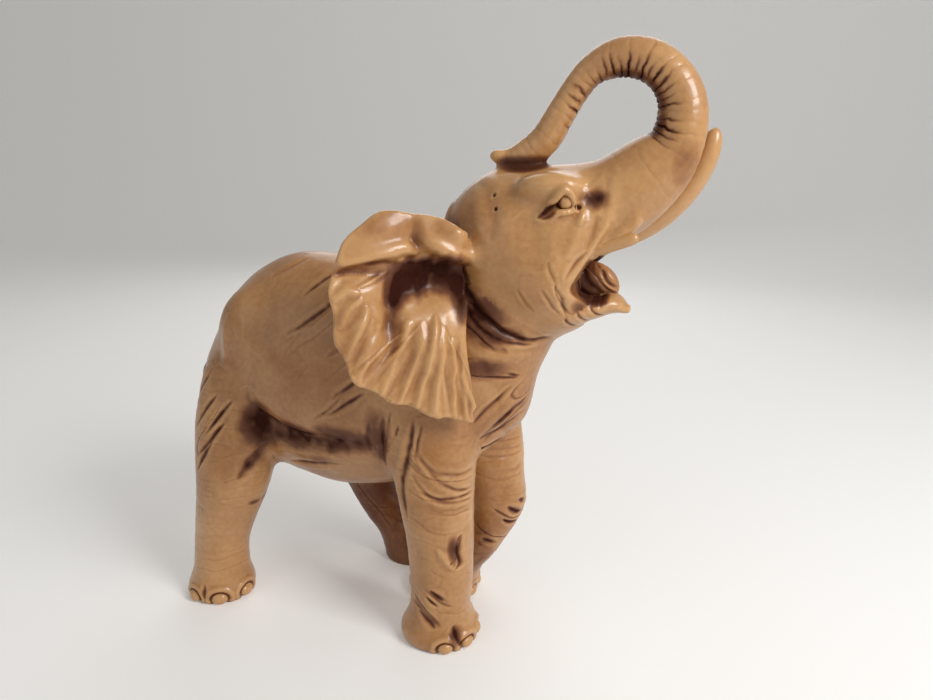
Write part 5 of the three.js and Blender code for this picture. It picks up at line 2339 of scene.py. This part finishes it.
@dataclass
class Studio:
    """Floor, lights and camera.

    Attributes:
        eye: place of the camera in metres.
        pitch: degrees that it looks down.
        turn: degrees that it is turned about Z.
        focal: focal length in pixels of the photograph's width.
        frame_width: width of the photograph in pixels.
        floor_colour: colour of the floor and its backdrop.
        floor_lift: how much paler the floor is where the camera sees it.
    """

    eye: Point = (0.11945, -0.2857, 0.208)
    pitch: float = 15.0
    turn: float = 19.0
    focal: float = 705.0
    frame_width: float = 933.0
    floor_colour: Colour = (0.84, 0.83, 0.81)
    floor_lift: float = 0.18

    def build(self) -> None:
        """Sets the scene."""
        self.floor()
        self.lamp("key_light", (0.7, -0.25, 0.6), (0.0, 0.0, 0.13), 0.35, 5.6)
        self.lamp("fill_light", (-0.5, -0.8, 0.5), (0.0, 0.0, 0.1), 0.8, 1.1)
        self.lamp("back_light", (-0.2, 0.8, 0.7), (0.0, 0.0, 0.15), 0.8, 2.6)
        world = bpy.data.worlds.new("studio")
        world.use_nodes = True
        world.node_tree.nodes["Background"].inputs["Color"].default_value = (1.0, 0.985, 0.96, 1)
        world.node_tree.nodes["Background"].inputs["Strength"].default_value = 0.32
        bpy.context.scene.world = world
        bpy.context.scene.view_settings.view_transform = "Standard"
        camera = bpy.data.cameras.new("camera")
        camera.sensor_width = 36.0
        camera.lens = 36.0 * self.focal / self.frame_width
        camera.clip_start = 0.01
        stand = bpy.data.objects.new("camera", camera)
        stand.location = self.eye
        stand.rotation_euler = (math.radians(90 - self.pitch), 0, math.radians(self.turn))
        bpy.context.scene.collection.objects.link(stand)
        bpy.context.scene.camera = stand

    def lamp(self, name: str, place: Point, target: Point, size: float, power: float) -> None:
        """Hangs a soft square lamp.

        Args:
            name: its name.
            place: where it hangs.
            target: point that it faces.
            size: width in metres.
            power: power in watts.
        """
        light = bpy.data.lights.new(name, "AREA")
        light.size = size
        light.energy = power
        stand = bpy.data.objects.new(name, light)
        stand.location = place
        aim = Vector(target) - Vector(place)
        stand.rotation_euler = aim.to_track_quat("-Z", "Y").to_euler()
        bpy.context.scene.collection.objects.link(stand)

    def floor(self) -> None:
        """Lays the pale floor and its backdrop."""
        made = bpy.data.materials.new("pale_floor")
        made.use_nodes = True
        nodes, colour = Nodes(made.node_tree), (*self.floor_colour, 1)
        matt = nodes.tree.nodes["Principled BSDF"]
        matt.inputs["Base Color"].default_value = colour
        matt.inputs["Roughness"].default_value = 0.7
        path = nodes.add("ShaderNodeLightPath").outputs
        seen = nodes.math("MAXIMUM", path["Is Camera Ray"], path["Is Glossy Ray"])
        seen = nodes.math("MAXIMUM", seen, path["Is Transmission Ray"])
        lift = nodes.math("MULTIPLY", seen, self.floor_lift)
        glow = nodes.out("ShaderNodeEmission", {"Color": colour, "Strength": lift})
        both = nodes.out("ShaderNodeAddShader", {0: matt.outputs[0], 1: glow})
        nodes.tree.links.new(both, nodes.tree.nodes["Material Output"].inputs["Surface"])
        half, back, bend, steps = 3.0, 1.6, 0.6, 16
        profile = [(-half, 0.0), (back - bend, 0.0)]
        for i in range(1, steps + 1):
            turn = math.pi / 2 * i / steps
            profile.append((back - bend + bend * math.sin(turn), bend - bend * math.cos(turn)))
        profile.append((back, 3.0))
        points = [(x, y, z) for y, z in profile for x in (-half, half)]
        faces = [(2 * i, 2 * i + 1, 2 * i + 3, 2 * i + 2) for i in range(len(profile) - 1)]
        mesh = bpy.data.meshes.new("floor")
        mesh.from_pydata(points, [], faces)
        mesh.materials.append(made)
        mesh.shade_smooth()
        floor = new_piece("floor", mesh)


FRONT = dict(
    plug=32.0, depth=38.0, knee_height=47.0, knee=30.0, shank=28.0, foot=35.0, stance=35.0,
    sway=-7.5, spacing=44.0, nails=4,
)
REAR = dict(
    plug=34.0, depth=41.0, knee_height=58.0, knee=35.0, shank=27.0, foot=32.0, stance=62.5,
    sway=2.5, spacing=42.0, nails=3, nail_width=8.0, nail_step=52.0, nail_lean=58.0,
)


# Folds and smudges of the legs.
NEAR_FRONT = (
    Fold(((52, 93), (59, 84.5), (70, 82), (78, 85)), 1.1, 0.4, 0.35),
    Fold(((53, 90), (65, 77.5), (76, 73)), 1.1, 0.45, 0.4),
    Fold(((53, 75.5), (63, 72), (76, 72.4)), 1.1, 0.5, 0.5),
    Fold(((50, 82), (60, 72), (76, 69)), 1.0, 0.4, 0.35),
    Hatch((63, 82), (22, 14), -15, 3.0, 0.28, 0.3, -6.0),
    Hatch((64, 62), (16, 8), -8, 3.0, 0.22, 0.22, -3.0),
    Fold(((69.5, 55), (68.6, 47), (69.6, 41), (68, 38.6)), 1.0, 0.9, 0.85),
    Fold(((61.5, 50), (64.5, 43.5), (67.6, 38.6)), 1.5, -0.8, 0.0, 0.2),
    Hatch((67, 49), (8, 3), 84, 2.0, 0.5, 0.8),
    StainAndShadePatch((67.6, 47.5), (2.2, 6.5), 0.75),
    Fold(((57.5, 29), (63.5, 24)), 1.3, 0.7, 0.9),
    Fold(((56, 25.5), (61, 21)), 1.0, 0.5, 0.65),
    Fold(((52, 18), (60.7, 11.3)), 1.4, 0.7, 0.85),
    Hatch((58, 20), (10, 9), -38, 3.0, 0.3, 0.5),
    Fold(((67.5, 12), (69.5, 7), (71.5, 2)), 1.6, 1.0, 0.9),
    StainAndShadePatch((68.5, 7), (2.6, 5), 0.6),
    Fold(((50.5, 106), (48, 90), (45, 76), (47, 60)), 1.7, 0.9, 0.75),
    Fold(((54, 104), (52.5, 96), (52, 88)), 1.0, 0.4, 0.4),
)
FAR_FRONT = (
    Fold(((80, 52), (85.5, 46)), 1.3, 0.8, 0.9),
    Fold(((84, 54), (89, 49)), 1.2, 0.7, 0.9),
    Fold(((78.5, 46), (83.5, 41)), 1.2, 0.7, 0.85),
    Fold(((69, 36), (75, 32)), 1.4, 0.8, 0.9),
    Hatch((76, 42), (9, 13), -38, 3.0, 0.4, 0.6),
    Hatch((74, 72), (16, 16), -8, 3.0, 0.25, 0.22, -3.0),
    StainAndShadePatch((68, 30), (7, 20), 0.5),
)
NEAR_REAR = RECESS + STROKES + (
    Fold(((-25, 86), (-30, 77), (-37, 66)), 2.4, 1.1, 0.75),
    StainAndShadePatch((-34.7, 51.7), (1.5, 1.5), 0.7),
    StainAndShadePatch((-36.8, 38), (1.6, 1.6), 0.7),
    StainAndShadePatch((-35, 23), (1.6, 1.4), 0.65),
    Fold(((-41.4, 19), (-40.6, 12), (-41, 4)), 1.7, 0.9, 0.85),
    Fold(((-58, 10), (-57, 3)), 1.2, 0.6, 0.6),
    Hatch((-48, 56), (16, 12), 6, 4.0, 0.18, 0.18),
)
FAR_REAR = (
    Fold(((0, 70), (6, 60), (8, 50)), 1.4, 0.7, 0.6),
    Fold(((10, 40), (16, 34), (22, 26)), 1.4, 0.7, 0.6),
    Hatch((8, 45), (30, 16), -62, 4.0, 0.4, 0.7),
)


def build_legs() -> list[Leg]:
    """Lists the four legs with their folds."""
    return [
        Leg(
            "front_right_leg", Side.RIGHT, 52.0, (5.0, 6.0, 5.0),
            marks=NEAR_FRONT, **FRONT,
        ),
        Leg(
            "front_left_leg", Side.LEFT, 60.0, (10.4, 0.6, -14.0),
            marks=FAR_FRONT, stain=0.15, **FRONT,
        ),
        Leg(
            "rear_right_leg", Side.RIGHT, -46.0, (-3.0, -10.5, -13.0),
            marks=NEAR_REAR, **REAR,
        ),
        Leg(
            "rear_left_leg", Side.LEFT, -30.0, (24.0, 32.0, 49.0),
            # The far rear leg's deep stain is painted shade.
            marks=FAR_REAR, stain=0.45, **REAR,
        ),
    ]


def main() -> None:
    """Builds the figurine and the studio."""
    logging.basicConfig(level=logging.INFO, format="%(message)s")
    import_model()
    ivory, stained = IVORY.material(), STAINED.material()
    clay = Clay(*CLAY_BOX, CELL)
    body, head, jaw, trunk, tail = Body(), Head(), Jaw(), Trunk(), Tail()
    legs, ears = build_legs(), [Ear(side) for side in Side]
    body.shape(clay)
    for leg in legs:
        leg.shape(clay)
    head.shape(clay)
    trunk.shape(clay)
    jaw.shape(clay)
    tail.shape(clay)
    for ear in ears:
        ear.shape(clay)
    clay.level()
    points, quads, owners = clay.skin()
    points = relax(points, quads, 3)
    owners = steady_owners(quads, owners, len(clay.names))
    owners, names = slice_torso(points, quads, owners, clay.names)
    hides = part_skin(points, quads, owners, names)
    for hide in hides.values():
        hide.refine()
    match_seams(list(hides.values()))
    makers = {name: body for name in names if name.startswith("torso")}
    makers |= {"head": head, "lower_jaw": jaw, "tail": tail}
    makers |= {leg.name: leg for leg in legs} | {ear.name: ear for ear in ears}
    for name, maker in makers.items():
        maker.dress(hides[name])
    jaw.dress_tongue(hides["tongue"])
    ways = trunk.dress(hides["trunk"])
    for hide in hides.values():
        age(hide, 12, 0.9)
    match_seams(list(hides.values()))
    for name, hide in hides.items():
        piece = open_mesh(f"{name}_hide", hide, stained if name == "tongue" else ivory)
        if name == "trunk":
            set_ways(piece, ways)
            trunk.rings(piece, ivory)
        claim(piece, "torso" if name.startswith("torso") else name)
    for leg in legs:
        claim(leg.nail_piece(ivory), leg.name)
    tusks = (
        Tusk("left_tusk", (121.2, 11.0, 177.6), 60.0, 10.8, 15.0, 69.0, 0.22),
        Tusk("right_tusk", (116.5, -12.4, 174.3), 18.6, 5.0, 18.0, 2.0, 0.05),
    )
    for tusk in tusks:
        claim(tusk.build(ivory), tusk.name)
    for side in Side:
        claim(Eye(side).build(ivory), f"{side.name.lower()}_eye")
    Studio().build()


def set_ways(piece: Object, ways: Array) -> None:
    """Stores the way along the trunk and the strength of its rings on its points.

    Args:
        piece: the trunk.
        ways: both values for each point of its hide.
    """
    extra = len(piece.data.vertices) - len(ways)
    for name, values in zip(("way", "fade"), ways.T):
        layer = piece.data.attributes.new(name, "FLOAT", "POINT")
        layer.data.foreach_set("value", np.concatenate([values, np.zeros(extra)]).astype(np.float32))


if __name__ == "__main__":
    main()
